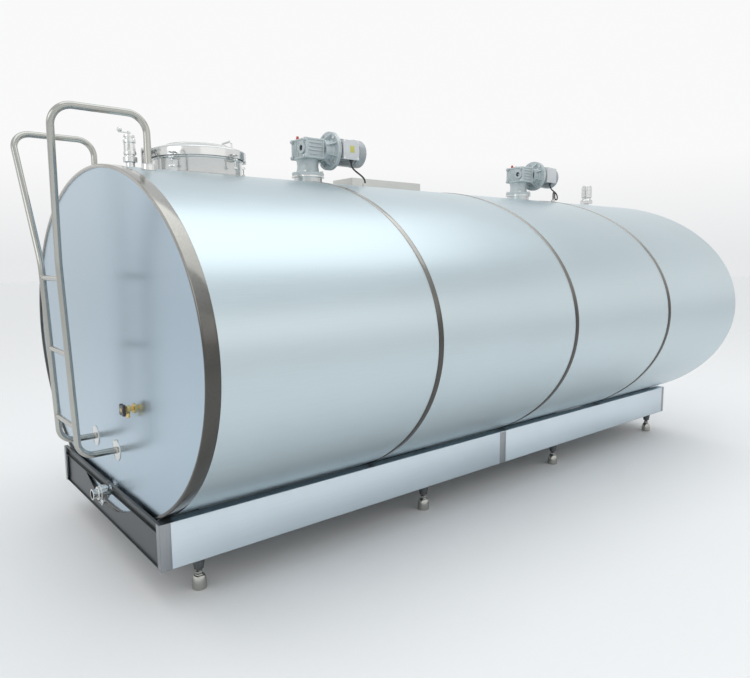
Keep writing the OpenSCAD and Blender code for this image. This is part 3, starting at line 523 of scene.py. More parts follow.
def build_body():
    shell = Form()
    shell.rings([oval_ring(RECESS, 0), oval_ring(LENGTH / 2, 0), oval_ring(LENGTH - SHELL_T, 0),
                 oval_ring(LENGTH - SHELL_T, SHELL_T), oval_ring(LENGTH / 2, SHELL_T),
                 oval_ring(RECESS, SHELL_T)],
                closed=True)
    skin = shell.piece("cladding", FRONT, ["outer_shell"], "clad_steel", SHEET)
    z = TOP_Z
    cut_round(skin, [(MANWAY_X, 0, NECK_R + SEAT_GAP, z - 100, z + 50), (DRIVES_X[0], 0, PORT_R + SEAT_GAP,
                                                                         z - 40, z + 50),
                     (DRIVES_X[1], 0, PORT_R + SEAT_GAP, z - 40, z + 50), (INLET_X, 0, PIPE_R + SEAT_GAP,
                                                                           z - 30, z + 50),
                     (VENT_X, 0, PIPE_R + SEAT_GAP, z - 30, z + 50)])
    smooth_as_oval(skin)

    # Front edge band, rolled over at its lip
    lip = 16
    edge = Form()
    edge.rings([oval_ring(x, d, HALF_W, HALF_H) for x, d in
                [(EDGE_BAND_W, 3), (EDGE_BAND_W, 1), (EDGE_BAND_W - 2, 0), (6, 0), (3.5, 0.7), (1.5, 2.2),
                 (0.4, 4.4), (0, 7), (0, lip - 5), (0.6, lip - 2.6), (2.2, lip - 0.8), (4.5, lip),
                 (RECESS, lip), (RECESS, 3.2)]], closed=True)
    edge.piece("edge_band", FRONT, ["front_edge_band"], "bright_steel", BAND)

    bands = Form()
    first, last = edges_x("shell_bands")
    pitch = (last - first - BAND_W) / 2
    for k in range(3):
        x = first + k * pitch
        bands.rings([oval_ring(x + dx, d, HALF_W, HALF_H) for dx, d in
                     [(0, 2.9), (0.6, 1.2), (2, 0.3), (4, 0), (BAND_W - 4, 0), (BAND_W - 2, 0.3),
                      (BAND_W - 0.6, 1.2), (BAND_W, 2.9)]], closed=True)
    bands.piece("joint_bands", FRONT, ["shell_bands"], "bright_steel", BAND)

    # End plates, turned up a little where they meet the bands
    ends = Form()
    ends.rings([oval_ring(RECESS + SHELL_T, SHELL_T + 0.2)]
               + [oval_ring(RECESS + dx, d) for dx, d in
                  [(0.0, SHELL_T + 0.2), (0.0, 14), (0.02, 22), (0.05, 40), (0.05, 200), (0.05, 500)]])
    ends.piece("front_end", FRONT, ["front_end_plate"], "end_steel", END)
    rear = Form()
    rear.rings([oval_ring(LENGTH - SHELL_T, 0), oval_ring(LENGTH - 1.2, 0), oval_ring(LENGTH - 0.4, 0.5),
                oval_ring(LENGTH, 1.6), oval_ring(LENGTH, 300)])
    rear.piece("rear_end", FRONT, ["rear_end_plate"], "end_steel", END)

    welds = Form()
    seam(welds, MANWAY_X, 0, 204.5, 2.6)
    for x in DRIVES_X:
        seam(welds, x, 0, 76.5, 2.2)
    seam(welds, INLET_X, 0, 20, 1.8, n=40)
    seam(welds, VENT_X, 0, 20, 1.8, n=40)
    for s in (-1, 1):
        seam(welds, HAND_BACK, s * HAND_Y, 26.5, 1.8, n=40)
    welds.piece("neck_welds", FRONT, slot="bright_steel", mat=WELD)

    pipes = Form()
    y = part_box("refrigerant_pipes")[1].y / MM - 12
    z = centre("refrigerant_pipes").z
    out = edges_x("refrigerant_pipes")[1]
    for s in (-1, 1):
        pipes.turn([(9.5, LENGTH - 40), (11, LENGTH - 40), (11, out - 0.6), (10.6, out), (9.5, out)],
                   along_x(0, s * y, z), 40, closed=True)
        pipes.turn([(11, LENGTH + 2), (16, LENGTH + 2), (18, LENGTH + 1), (18, LENGTH), (11, LENGTH)],
                   along_x(0, s * y, z), 40, closed=True)
    pipes.piece("coolant_pipes", FRONT, ["refrigerant_pipes"], "copper", COPPER)


# ---------------------------------------------------------------- ladder


def rounded_path(points, radii, steps):
    """A line through points with its corners rounded."""
    line = [Vector(points[0])]
    for k, r in enumerate(radii, 1):
        a, b, c = (Vector(p) for p in points[k - 1:k + 2])
        u, w = (a - b).normalized(), (c - b).normalized()
        half = u.angle(w) / 2
        mid = b + (u + w).normalized() * r / math.sin(half)
        s, e = b + u * r / math.tan(half) - mid, b + w * r / math.tan(half) - mid
        sweep = math.pi - 2 * half
        for i in range(steps + 1):
            t = i / steps
            line.append(mid + (math.sin(sweep * (1 - t)) * s + math.sin(sweep * t) * e) / math.sin(sweep))
    return line + [Vector(points[-1])]


def build_ladder():
    rails = Form()
    for s in (-1, 1):
        rails.tube(rounded_path([(RECESS - 4, s * RAIL_Y, RAIL_FOOT_Z), (-RAIL_OUT, s * RAIL_Y, RAIL_FOOT_Z),
                                 (-RAIL_OUT - LEAN, s * RAIL_Y, FLARE_Z), (HAND_FRONT, s * HAND_Y, HAND_Z),
                                 (HAND_BACK, s * HAND_Y, HAND_Z), (HAND_BACK, s * HAND_Y,
                                                                   oval_top(HAND_Y) + 22)],
                                RAIL_BENDS, 20), LADDER_R, 32)
    rails.piece("rails", FRONT, ["ladder_rails"], "bright_steel", TUBE)

    rungs, beads = Form(), Form()
    for z in RUNGS_Z:
        x = -RAIL_OUT - LEAN * (z - RAIL_FOOT_Z) / (FLARE_Z - RAIL_FOOT_Z)
        reach = RAIL_Y - LADDER_R + 2
        rungs.tube([(x, -reach, z), (x, reach, z)], 11, 32)
        for s in (-1, 1):
            ring = [Vector((x + 11.4 * a, s * (RAIL_Y - math.sqrt(LADDER_R ** 2 - (11.2 * a) ** 2) + 0.4),
                            z + 11.4 * b)) for a, b in circle(1, 40)]
            beads.tube(ring, 1.3, 10, closed=True)
    rungs.piece("rungs", FRONT, ["ladder_rungs"], "bright_steel", TUBE)

    mounts = Form()
    for s in (-1, 1):
        mounts.turn([(0, 0), (47, 0), (47, 2.2), (46.2, 3.2), (44.5, 3.8), (15, 4.0), (0, 4.0)],
                    basis((RECESS, s * RAIL_Y, RAIL_FOOT_Z), z=(-1, 0, 0), x=(0, 1, 0)), 72)
        low = oval_top(HAND_Y + 26) - 4 - oval_top(HAND_Y)
        mounts.turn([(0, low), (26, low), (26, 17), (25, 20), (22, 22), (0, 22)],
                    Matrix.Translation((HAND_BACK, s * HAND_Y, oval_top(HAND_Y))), 56)
        ring = [Vector((RECESS - 4.5, s * RAIL_Y + a, RAIL_FOOT_Z + b)) for a, b in circle(14.6, 40)]
        beads.tube(ring, 1.4, 10, closed=True)
        ring = [Vector((HAND_BACK + a, s * HAND_Y + b, oval_top(HAND_Y) + 22.4)) for a, b in circle(14.4, 40)]
        beads.tube(ring, 1.4, 10, closed=True)
    mounts.piece("rail_rosettes", FRONT, ["ladder_mounts"])
    beads.piece("ladder_welds", FRONT, slot="bright_steel", mat=WELD)


# ---------------------------------------------------------------- manway


def build_manway():
    neck = Form()
    foot = pipe_foot(NECK_R)
    neck.turn([(NECK_R - 3, foot), (NECK_R, foot), (NECK_R, 52), (NECK_R + 1, 56), (NECK_R + 4, 58),
               (NECK_R + 6, 58.4), (NECK_R + 7, 60), (NECK_R + 7, 64.6), (NECK_R + 6, 66), (NECK_R - 2, 66),
               (NECK_R - 3, 65)], n=144, closed=True)
    neck.piece("manway_ring", MANWAY, ["manway_neck"])

    gasket = Form()
    gasket.turn([(NECK_R - 2, 66), (NECK_R + 6, 66), (NECK_R + 6.4, 68), (NECK_R + 6, 70.9),
                 (NECK_R - 2, 70.9)],
                n=128, closed=True)
    gasket.piece("manway_seal", MANWAY, ["lid_gasket"], "rubber", BLACK)

    lid = Form()
    crown_r = ((LID_R - 6) ** 2 + CROWN ** 2) / (2 * CROWN)

    def crown(r):
        return RIM_HIGH + CROWN - crown_r + math.sqrt(crown_r ** 2 - r ** 2)

    under = 71.4
    steps = 40
    outside = [(r, crown(r)) for r in [(LID_R - 9) * (1 - k / steps) for k in range(steps + 1)]]
    inside = [(r, crown(r) - 4) for r in [(LID_R - 12) * k / steps for k in range(steps + 1)]]
    lid.turn([(NECK_R - 5, under), (LID_R - 4, under), (LID_R - 4, RIM_LOW + 0.6), (LID_R - 3.4, RIM_LOW),
              (LID_R - 0.8, RIM_LOW), (LID_R, RIM_LOW + 1), (LID_R, RIM_HIGH - 7),
              (LID_R - 0.8, RIM_HIGH - 3.5),
              (LID_R - 3, RIM_HIGH - 0.8), (LID_R - 6, RIM_HIGH + 0.4)] + outside + inside
             + [(LID_R - 5, RIM_HIGH - 6), (LID_R - 4, under + 4), (NECK_R - 5, under + 4)], n=160,
             closed=True)
    strap = [(-HINGE_BACK, -20, HINGE_UP - 7), (-LID_R + 1, 20, HINGE_UP + 7)]
    lid.block(*strap, edge=2)
    lid.turn([(5.1, -20), (10, -20), (11, -19), (11, 19), (10, 20), (5.1, 20)],
             basis((-HINGE_BACK, 0, HINGE_UP), z=(0, 1, 0)), 48, closed=True)
    for s in (-1, 1):
        lid.turn([(0, RIM_HIGH + 10), (12, RIM_HIGH + 10), (9, RIM_HIGH + 24), (8, RIM_HIGH + 26),
                  (0, RIM_HIGH + 26)],
                 Matrix.Translation((150, s * 50, 0)), 40)
    for a in CLAMP_ANGLES:
        m = spin(a)
        for s in (-1, 1):
            lid.block((LID_R - 1, s * 9.5 - 3.5, RIM_LOW + 5), (LID_R + 23, s * 9.5 + 3.5, RIM_LOW + 13), m,
                      1.5)
        lid.block((LID_R - 1, -13, RIM_LOW + 5), (CLAMP_R - 6, 13, RIM_LOW + 13), m, 1.5)
    # Ring pressed into the crown
    lid.tube([Vector((x, y, crown(148) + 0.2)) for x, y in circle(148, 120)], 2.2, 10, closed=True)
    lid.piece("manway_cover", MANWAY, ["manway_lid"], body="lid")

    handle = Form()
    top = RIM_HIGH + 62
    handle.tube(rounded_path([(150, -50, RIM_HIGH + 26), (150, -50, top), (150, 50, top),
                              (150, 50, RIM_HIGH + 26)],
                             (16, 16), 12), 5, 24)
    handle.piece("cover_handle", MANWAY, ["lid_handle"], body="lid")

    bracket = Form()
    base = oval_top(40) - TOP_Z
    bracket.block((-HINGE_BACK - 28, -40, base), (-HINGE_BACK + 28, 40, 6), edge=2)
    for s in (-1, 1):
        outline = [(-12, 0), (12, 0)] + [(12 * math.cos(math.radians(a)),
                                          HINGE_UP + 12 * math.sin(math.radians(a)))
                                         for a in range(0, 181, 12)]
        m = basis((-HINGE_BACK, s * 24.5, 0), z=(0, -1, 0))
        bracket.prism(outline, -4, 4, m, 0.8)
    bracket.piece("hinge_bracket", MANWAY, ["lid_hinge_bracket"])

    pin = Form()
    m = basis((-HINGE_BACK, 0, HINGE_UP), z=(0, 1, 0))
    pin.turn([(0, -36), (6.5, -36), (8, -34.5), (8, -32), (5, -32), (5, 32), (8, 32), (8, 34.5), (6.5, 36),
              (0, 36)],
             m, 40)
    pin.piece("hinge_pin", MANWAY, ["lid_hinge_pin"])

    lugs = Form()
    for a in CLAMP_ANGLES:
        m = spin(a)
        for s in (-1, 1):
            end = [(CLAMP_R + 6 * math.cos(math.radians(t)), 7 * math.sin(math.radians(t)))
                   for t in range(-75, 76, 15)]
            outline = [(NECK_R - 0.5, -7), (CLAMP_R, -7)] + end + [(CLAMP_R, 7), (NECK_R - 0.5, 7)]
            lugs.prism(outline, -3, 3, m @ basis((0, s * 8, CLAMP_UP), z=(0, -1, 0)), 0.7)
        lugs.turn([(0, -13), (2.4, -13), (3, -12.4), (3, 12.4), (2.4, 13), (0, 13)],
                  m @ basis((CLAMP_R, 0, CLAMP_UP), z=(0, 1, 0)), 24)
    lugs.piece("clamp_ears", MANWAY, ["clamp_lugs"])

    for i, a in enumerate(CLAMP_ANGLES, 1):
        bolt = Form()
        m = around(a, CLAMP_R, CLAMP_UP)
        bolt.turn([(3.3, -4), (6.2, -4), (7, -3.2), (7, 3.2), (6.2, 4), (3.3, 4)],
                  m @ basis((0, 0, 0), z=(0, 1, 0)), 32, closed=True)
        thread = [(3.5 if k % 2 else 3.0, -44 + 0.9 * k) for k in range(1, 34)]
        bolt.turn([(0, -44), (2.8, -44)] + thread + [(3.4, -13), (3.4, -5), (0, -5)], m, 24)
        bolt.turn([(3.2, -40), (7, -40), (8, -38.8), (7.4, -30.8), (6, -30), (3.2, -30)], m, 32, closed=True)
        for s in (-1, 1):
            wing = [(s * 5, -39.5), (s * 9, -39.8), (s * 14, -38.6), (s * 15, -35.6), (s * 13.4, -33.2),
                    (s * 10, -33.4), (s * 7, -34.5), (s * 5, -35)]
            bolt.prism(wing, -1.8, 1.8, m @ basis((0, 0, 0), z=(1, 0, 0), x=(0, 1, 0)), 0.6)
        bolt.piece(f"swing_bolt_{i}", MANWAY, [f"clamp_bolt_{i}"], body=f"clamp_{i}")


# ---------------------------------------------------------------- agitator drives


def build_drive(i):
    at, motor_at = DRIVES[i - 1], MOTORS[i - 1]

    def shared(node):
        """A CAD node with parts of both drives: the first drive's piece stands for it."""
        return [node] if i == 1 else ()

    port = Form()
    foot = pipe_foot(PORT_R)
    port.turn([(72, foot), (PORT_R, foot), (PORT_R, 28), (76, 31), (79, 32),
               (85.8, 32), (87, 33.2), (87, 40.8), (85.8, 42), (72, 42)], n=96, closed=True)
    port.piece(f"agitator_port_{i}", at, shared("agitator_ports"))

    seal = Form()
    seal.turn([(15.1, 44), (34, 44), (34, 56), (15.1, 56)], n=48, closed=True)
    seal.piece(f"shaft_seal_{i}", at, shared("shaft_seals"), "rubber", BLACK)

    box = Form()
    y0, y1 = MOTOR_Y - 38, MOTOR_Y + 106
    box.turn([(34, 42), (84, 42), (85, 43), (85, 56.5), (83.5, 58), (70, 58), (64, 61), (60, 68), (56, 92),
              (58, 112), (62, BOX_LOW + 2), (34, BOX_LOW + 2)], n=72, closed=True)
    box.block((-63, y0 + 3, BOX_LOW + 3), (52, y1 - 3, BOX_HIGH - 3), edge=10, steps=3)
    # Rims of the two covers, corner ears and ribs of the casting
    for z in (BOX_LOW, BOX_HIGH - 12):
        box.block((-66, y0, z), (55, y1, z + 12), edge=5, steps=3)
    for y in (y0, y1 - 14):
        box.block((-66, y, BOX_LOW), (-52, y + 14, BOX_HIGH), edge=4, steps=3)
        box.block((41, y, BOX_LOW), (55, y + 14, BOX_HIGH), edge=4, steps=3)
    for y in (y0, y1 - 20):
        for z in (BOX_LOW, BOX_HIGH - 20):
            box.block((-74, y, z), (-60, y + 20, z + 20), edge=5, steps=3)
    for k in range(4):
        z = BOX_LOW + 20 + k * 19
        box.block((-44, y0 - 4, z), (36, y0 + 6, z + 5), edge=1.6)
        box.block((-44, y1 - 6, z), (36, y1, z + 5), edge=1.6)
    for k in range(3):
        y = y0 + 78 + k * 17
        box.block((-66, y, BOX_LOW + 14), (-58, y + 5, BOX_HIGH - 14), edge=1.6)
    box.turn([(0, BOX_HIGH - 2), (38, BOX_HIGH - 2), (38, BOX_HIGH + 6), (36.5, BOX_HIGH + 8),
              (22, BOX_HIGH + 8),
              (20, BOX_HIGH + 6.5), (0, BOX_HIGH + 6.5)], n=64)
    worm = along_x(0, MOTOR_Y, MOTOR_Z)
    box.turn([(15, -74), (28, -74), (30, -72), (30, -66), (33, -60), (15, -60)], worm, 56, closed=True)
    box.turn([(46, 50), (58, 50), (58, 84), (60, 90), (66, 94.5), (98.8, 95), (FLANGE_R, 96.2),
              (FLANGE_R, FLANGE_X - 0.6), (99.4, FLANGE_X), (46, FLANGE_X)], worm, 96, closed=True)
    for k in range(8):
        m = worm @ spin(45 * k + 22.5)
        box.prism([(54, 54), (60, 54), (90, 93), (90, 97), (54, 97)], -2.5, 2.5,
                  m @ basis((0, 0, 0), z=(0, 1, 0)) @ Matrix.Diagonal((1, -1, 1, 1)), 0)
    box.piece(f"gear_casting_{i}", at, [f"gearbox_{i}"], "cast_grey", CAST)

    bore = Form()
    bore.turn([(9.1, -69), (15.2, -69), (15.2, -61), (9.1, -61)], worm, 40, closed=True)
    bore.piece(f"worm_seal_{i}", at, slot="rubber", mat=BLACK)

    bolts = Form()
    for a in (45, 135, 225, 315):
        bolts.hexagon(58, 67, 8, around(a, 75))
        bolts.hexagon(-FLANGE_X + 12, -FLANGE_X + 20, 8,
                      basis((0, MOTOR_Y, MOTOR_Z), z=(-1, 0, 0), x=(0, 1, 0)) @ around(a, 86))
    for y in (y0 + 10, y1 - 10):
        for z in (BOX_LOW + 10, BOX_HIGH - 10):
            bolts.hexagon(74, 78, 5.5, basis((0, y, z), z=(-1, 0, 0), x=(0, 1, 0)))
    for k in range(6):
        m = around(60 * k, 29, BOX_HIGH + 7)
        bolts.turn([(0, 3.4), (2.6, 3.4), (2.6, 4.6), (4, 4.6), (4.6, 4), (4.6, 0), (0, 0)], m, 24)
    bolts.piece(f"drive_screws_{i}", at, shared("drive_bolts"))

    plug = Form()
    plug.hexagon(0, 8, 9)
    plug.turn([(0, 8), (6.2, 8), (7, 9), (7, 16), (5.6, 17.6), (3, 18), (0, 18)], n=32)
    plug.piece(f"breather_{i}", at @ Matrix.Translation((-48 * MM, 20 * MM, BOX_HIGH * MM)),
               shared("breather_plugs"), "plug_red", RED)

    motor = Form()
    ax = along_x()
    motor.turn([(44, FLANGE_X + 0.4), (99.4, FLANGE_X + 0.4), (FLANGE_R, FLANGE_X + 1.2), (FLANGE_R, 116.6),
                (98.6, 118), (76, 118), (73, 121), (72, 127), (44, 127)], ax, 96, closed=True)
    motor.turn([(44, 126), (63, 126), (63, 250), (44, 250)], ax, 72, closed=True)
    fins = 40
    outline = []
    for k in range(fins):
        a = 2 * math.pi * k / fins
        for da, r in ((-0.046, 62.6), (-0.019, 72.4), (0.019, 72.4), (0.046, 62.6)):
            angle = a + da * (1 if r < 70 else 0.8)
            outline.append((r * math.cos(angle), r * math.sin(angle)))
    motor.prism(outline, 127, 250, ax)
    motor.turn([(44, 249), (70, 249), (73, 250.4), (MOTOR_R, 252), (MOTOR_R, 256), (44, 256)], ax, 72,
               closed=True)
    # Foot of the terminal box and lifting eye
    motor.block((136, -70, -40), (218, -50, 40), edge=4)
    motor.turn([(0, 60), (11, 60), (11, 74), (9, 78), (0, 78)], Matrix.Translation((150, 0, 0)), 32)
    motor.tube([Vector((150 + a, 0, 86 + b)) for a, b in circle(9, 32)], 3.2, 12, closed=True)
    motor.piece(f"motor_body_{i}", motor_at, [f"motor_{i}"], "cast_grey", MOTOR)

    # Black ring filling the gap between the motor and its cowl: painted shade in the gap
    ring = Form()
    ring.collar(255.6, 258.4, 71.5, 44, ax)
    ring.piece(f"motor_gap_shade_{i}", motor_at, slot="rubber", mat=BLACK)

    cowl = Form()
    cowl.turn([(66, 258), (74.4, 258), (75, 258.8), (75, 262), (74.2, 263), (74.2, 296), (73, 302),
               (70, 306.6),
               (66, 308.8), (60, 309.6), (60, 306), (66, 300), (66, 262)], ax, 96, closed=True)
    for r in (20, 30, 40, 50, 60):
        cowl.tube([Vector((310, a, b)) for a, b in circle(r, 72)], 1.5, 10, closed=True)
    for a, b in circle(1, 8):
        cowl.tube([(309, 12 * a, 12 * b), (309, 61 * a, 61 * b)], 1.6, 10)
    cowl.disc(307, 311.4, 13, ax)
    cowl.piece(f"fan_cowl_{i}", motor_at, shared("fan_cowls"), "cast_grey", COWL)

    terminal = Form()
    terminal.block((129, -100, -47), (225, -62, 47), edge=5, steps=3)
    terminal.block((125, -106, -51), (229, -99, 51), edge=3, steps=3)
    terminal.piece(f"terminal_box_{i}", motor_at, shared("terminal_boxes"), "cast_grey", PALE)

    small = Form()
    for x in (133, 221):
        for z in (-43, 43):
            small.turn([(0, 103), (5, 103), (5, 105.8), (4.4, 106.6), (0, 106.8)],
                       basis((x, 0, z), z=(0, -1, 0)), 24)
    small.piece(f"box_screws_{i}", motor_at)
    gland = Form()
    gland.hexagon(47, 55, 11, basis((191, -81, 0), z=(0, 0, -1)))
    gland.turn([(CABLE_R, 54), (9, 54), (9, 58), (8, 61), (6.4, 64), (CABLE_R, 65)],
               basis((191, -81, 0), z=(0, 0, -1)), 32, closed=True)
    gland.piece(f"cable_gland_{i}", motor_at, slot="rubber", mat=PLASTIC)
    if i == 1:
        patch = Form()
        patch.block((166, -106.4, -14), (196, -105.8, 22), edge=0.2)
        patch.piece("plain_patch", motor_at, slot="cast_grey", mat=YELLOW)


# ---------------------------------------------------------------- connections on top and at the front

def slotted_nut(form, z0, z1, r, m=None):
    """A round dairy union nut with four spanner slots."""
    outline = []
    for a in (0, 90, 180, 270):
        for da, rr in [(-8, r - 5), (8, r - 5)] + [(8 + t, r) for t in range(0, 75, 7)]:
            outline.append((rr * math.cos(math.radians(a + da)), rr * math.sin(math.radians(a + da))))
    form.prism(outline, z0, z1, m, 1.2)


def build_top_fittings():
    valve = Form()
    foot = pipe_foot(PIPE_R)
    valve.turn([(17.5, foot), (19, foot), (19, 30), (22, 33), (17.5, 33)], n=56, closed=True)
    slotted_nut(valve, 34, 56, 30)
    valve.turn([(0, 56), (20, 56), (20, 66), (26, 66), (27, 67), (27, 77), (26, 78), (26, 80), (24, 82),
                (24, 114),
                (26, 117), (26, 118), (27, 119), (27, 129), (26, 130), (19, 130), (19, 140), (23, 140),
                (24, 141),
                (24, 149), (23, 150), (6, 150), (0, 150)], n=64)
    for k in range(4):
        m = around(45 + 90 * k, 22.5)
        valve.disc(62, 134, 3.4, m, n=20)
        valve.hexagon(130, 136, 5.6, m)
    valve.piece("inlet_fitting", place(INLET_X, 0, TOP_Z), ["inlet_valve"])
    lever = Form()
    lever.disc(151, 164, 6, n=32)
    lever.hexagon(163, 168, 6)
    lever.prism([(-44, -4.5), (-44, 4.5), (-20, 5), (6, 7.5), (8, 4), (8, -4), (6, -7.5), (-20, -5)], 158,
                162.5,
                edge=0.8)
    lever.disc(162, 170, 4.5, Matrix.Translation((-40, 0, 0)), n=24)
    lever.ball((-40, 0, 170), 10.9)
    lever.piece("inlet_handle", place(INLET_X, 0, TOP_Z), ["inlet_lever"], body="inlet_lever")

    vent = Form()
    vent.turn([(17.5, foot), (19, foot), (19, 20), (22, 22), (17.5, 22)], n=56, closed=True)
    vent.hexagon(22, 52, 46)
    vent.turn([(0, 50), (38, 50), (36, 53), (34, 56), (34, 68), (38, 70), (40, 72), (40, 92), (38.6, 93),
               (38.6, 96),
               (40, 97), (40, 122), (38.6, 123), (38.6, 126), (40, 127), (40, 148), (36, 150), (36, 158),
               (33, 162),
               (26, 164), (0, 164)], n=72)
    vent.piece("vent_cap", place(VENT_X, 0, TOP_Z), ["vent"])


def build_front_fittings():
    at = place(0, OUTLET_Y, OUTLET_Z)
    ax = along_x()
    pipe = Form()
    pipe.turn([(17.5, -16), (19, -16), (19, 73), (17.5, 73)], ax, 56, closed=True)
    pipe.turn([(19, 6), (24, 6), (26, 7), (26, 8), (19, 8)], ax, 56, closed=True)
    pipe.piece("outlet_stub", at, ["outlet_pipe"])
    valve = Form()
    slotted_nut(valve, -26, -15, 31, ax)
    valve.turn([(17.6, -50), (30, -50), (33, -48), (33, -40), (31.6, -39), (31.6, -37), (33, -36), (33, -28),
                (30, -26),
                (17.6, -26)], ax, 72, closed=True)
    valve.turn([(17.6, -60), (28.6, -60), (30, -58.6), (30, -51.4), (28.6, -50), (17.6, -50)], ax, 64,
               closed=True)
    valve.turn([(17.6, -82), (24.4, -82), (25, -81.4), (25, -80), (21.4, -77.6), (20.6, -74), (20.6, -60),
                (17.6, -60)],
               ax, 64, closed=True)
    for k in (45, 135, 225, 315):
        m = ax @ around(k, 27.5)
        valve.disc(-54, -24, 3, m, n=20)
        valve.hexagon(-26, -21, 5, m)
        valve.hexagon(-22, -17, 5, m @ Matrix.Translation((0, 0, -35)))
    valve.turn([(5.1, -44), (9, -44), (10, -43), (10, -30), (5.1, -30)], Matrix.Translation((-38, 0, 0)), 40,
               closed=True)
    valve.piece("outlet_fitting", at, ["outlet_valve"])
    lever = Form()
    lever.disc(-53, -12, 4.9, Matrix.Translation((-38, 0, 0)), n=32)
    lever.prism([(-43.5, -7), (-32.5, -7), (-31.8, 4), (-33, 20), (-33.4, 50), (-35, 54), (-41, 54),
                 (-42.6, 50),
                 (-43, 20), (-44, 4)], -58, -52.4, edge=0.8)
    lever.turn([(0, -2), (16.6, -2), (17, 0), (16.6, 2), (0, 2)], along_x(-38), 48)
    lever.piece("outlet_handle", at, ["outlet_lever"], body="outlet_lever")

    at = place(0, SAMPLE_Y, SAMPLE_Z)
    sample = Form()
    sample.turn([(4, -8), (8, -8), (8, 73), (4, 73)], ax, 40, closed=True)
    sample.turn([(8, 2.4), (17.5, 2.4), (20, 4), (20, 8), (8, 8)], ax, 56, closed=True)
    sample.turn([(3.1, -24), (12.6, -24), (14, -22.6), (14, -9.4), (12.6, -8), (8, -8), (3.1, -8)], ax, 48,
                closed=True)
    sample.turn([(4, -34), (6.4, -34), (7, -33), (7, -14), (4, -14)], Matrix.Translation((-16, 0, 0)), 32,
                closed=True)
    sample.piece("sample_tap", at, ["sample_valve"], "valve_brass", BRASS)
    knob = Form()
    outline = []
    for k in range(96):
        t = 2 * math.pi * k / 96
        r = 24.5 + 5.4 * math.cos(4 * (t - math.pi / 4))
        outline.append((r * math.cos(t), r * math.sin(t)))
    knob.prism(outline, -43, -30, ax, 2.4)
    knob.piece("sample_handwheel", at, ["sample_knob"], "knob_black", PLASTIC, body="sample_knob")
    hub = Form()
    hub.disc(-44, -41, 8.5, ax, n=40)
    hub.disc(-38, -22, 3, ax, n=24)
    hub.piece("sample_hub", at, slot="valve_brass", mat=BRASS, body="sample_knob")


# ---------------------------------------------------------------- base

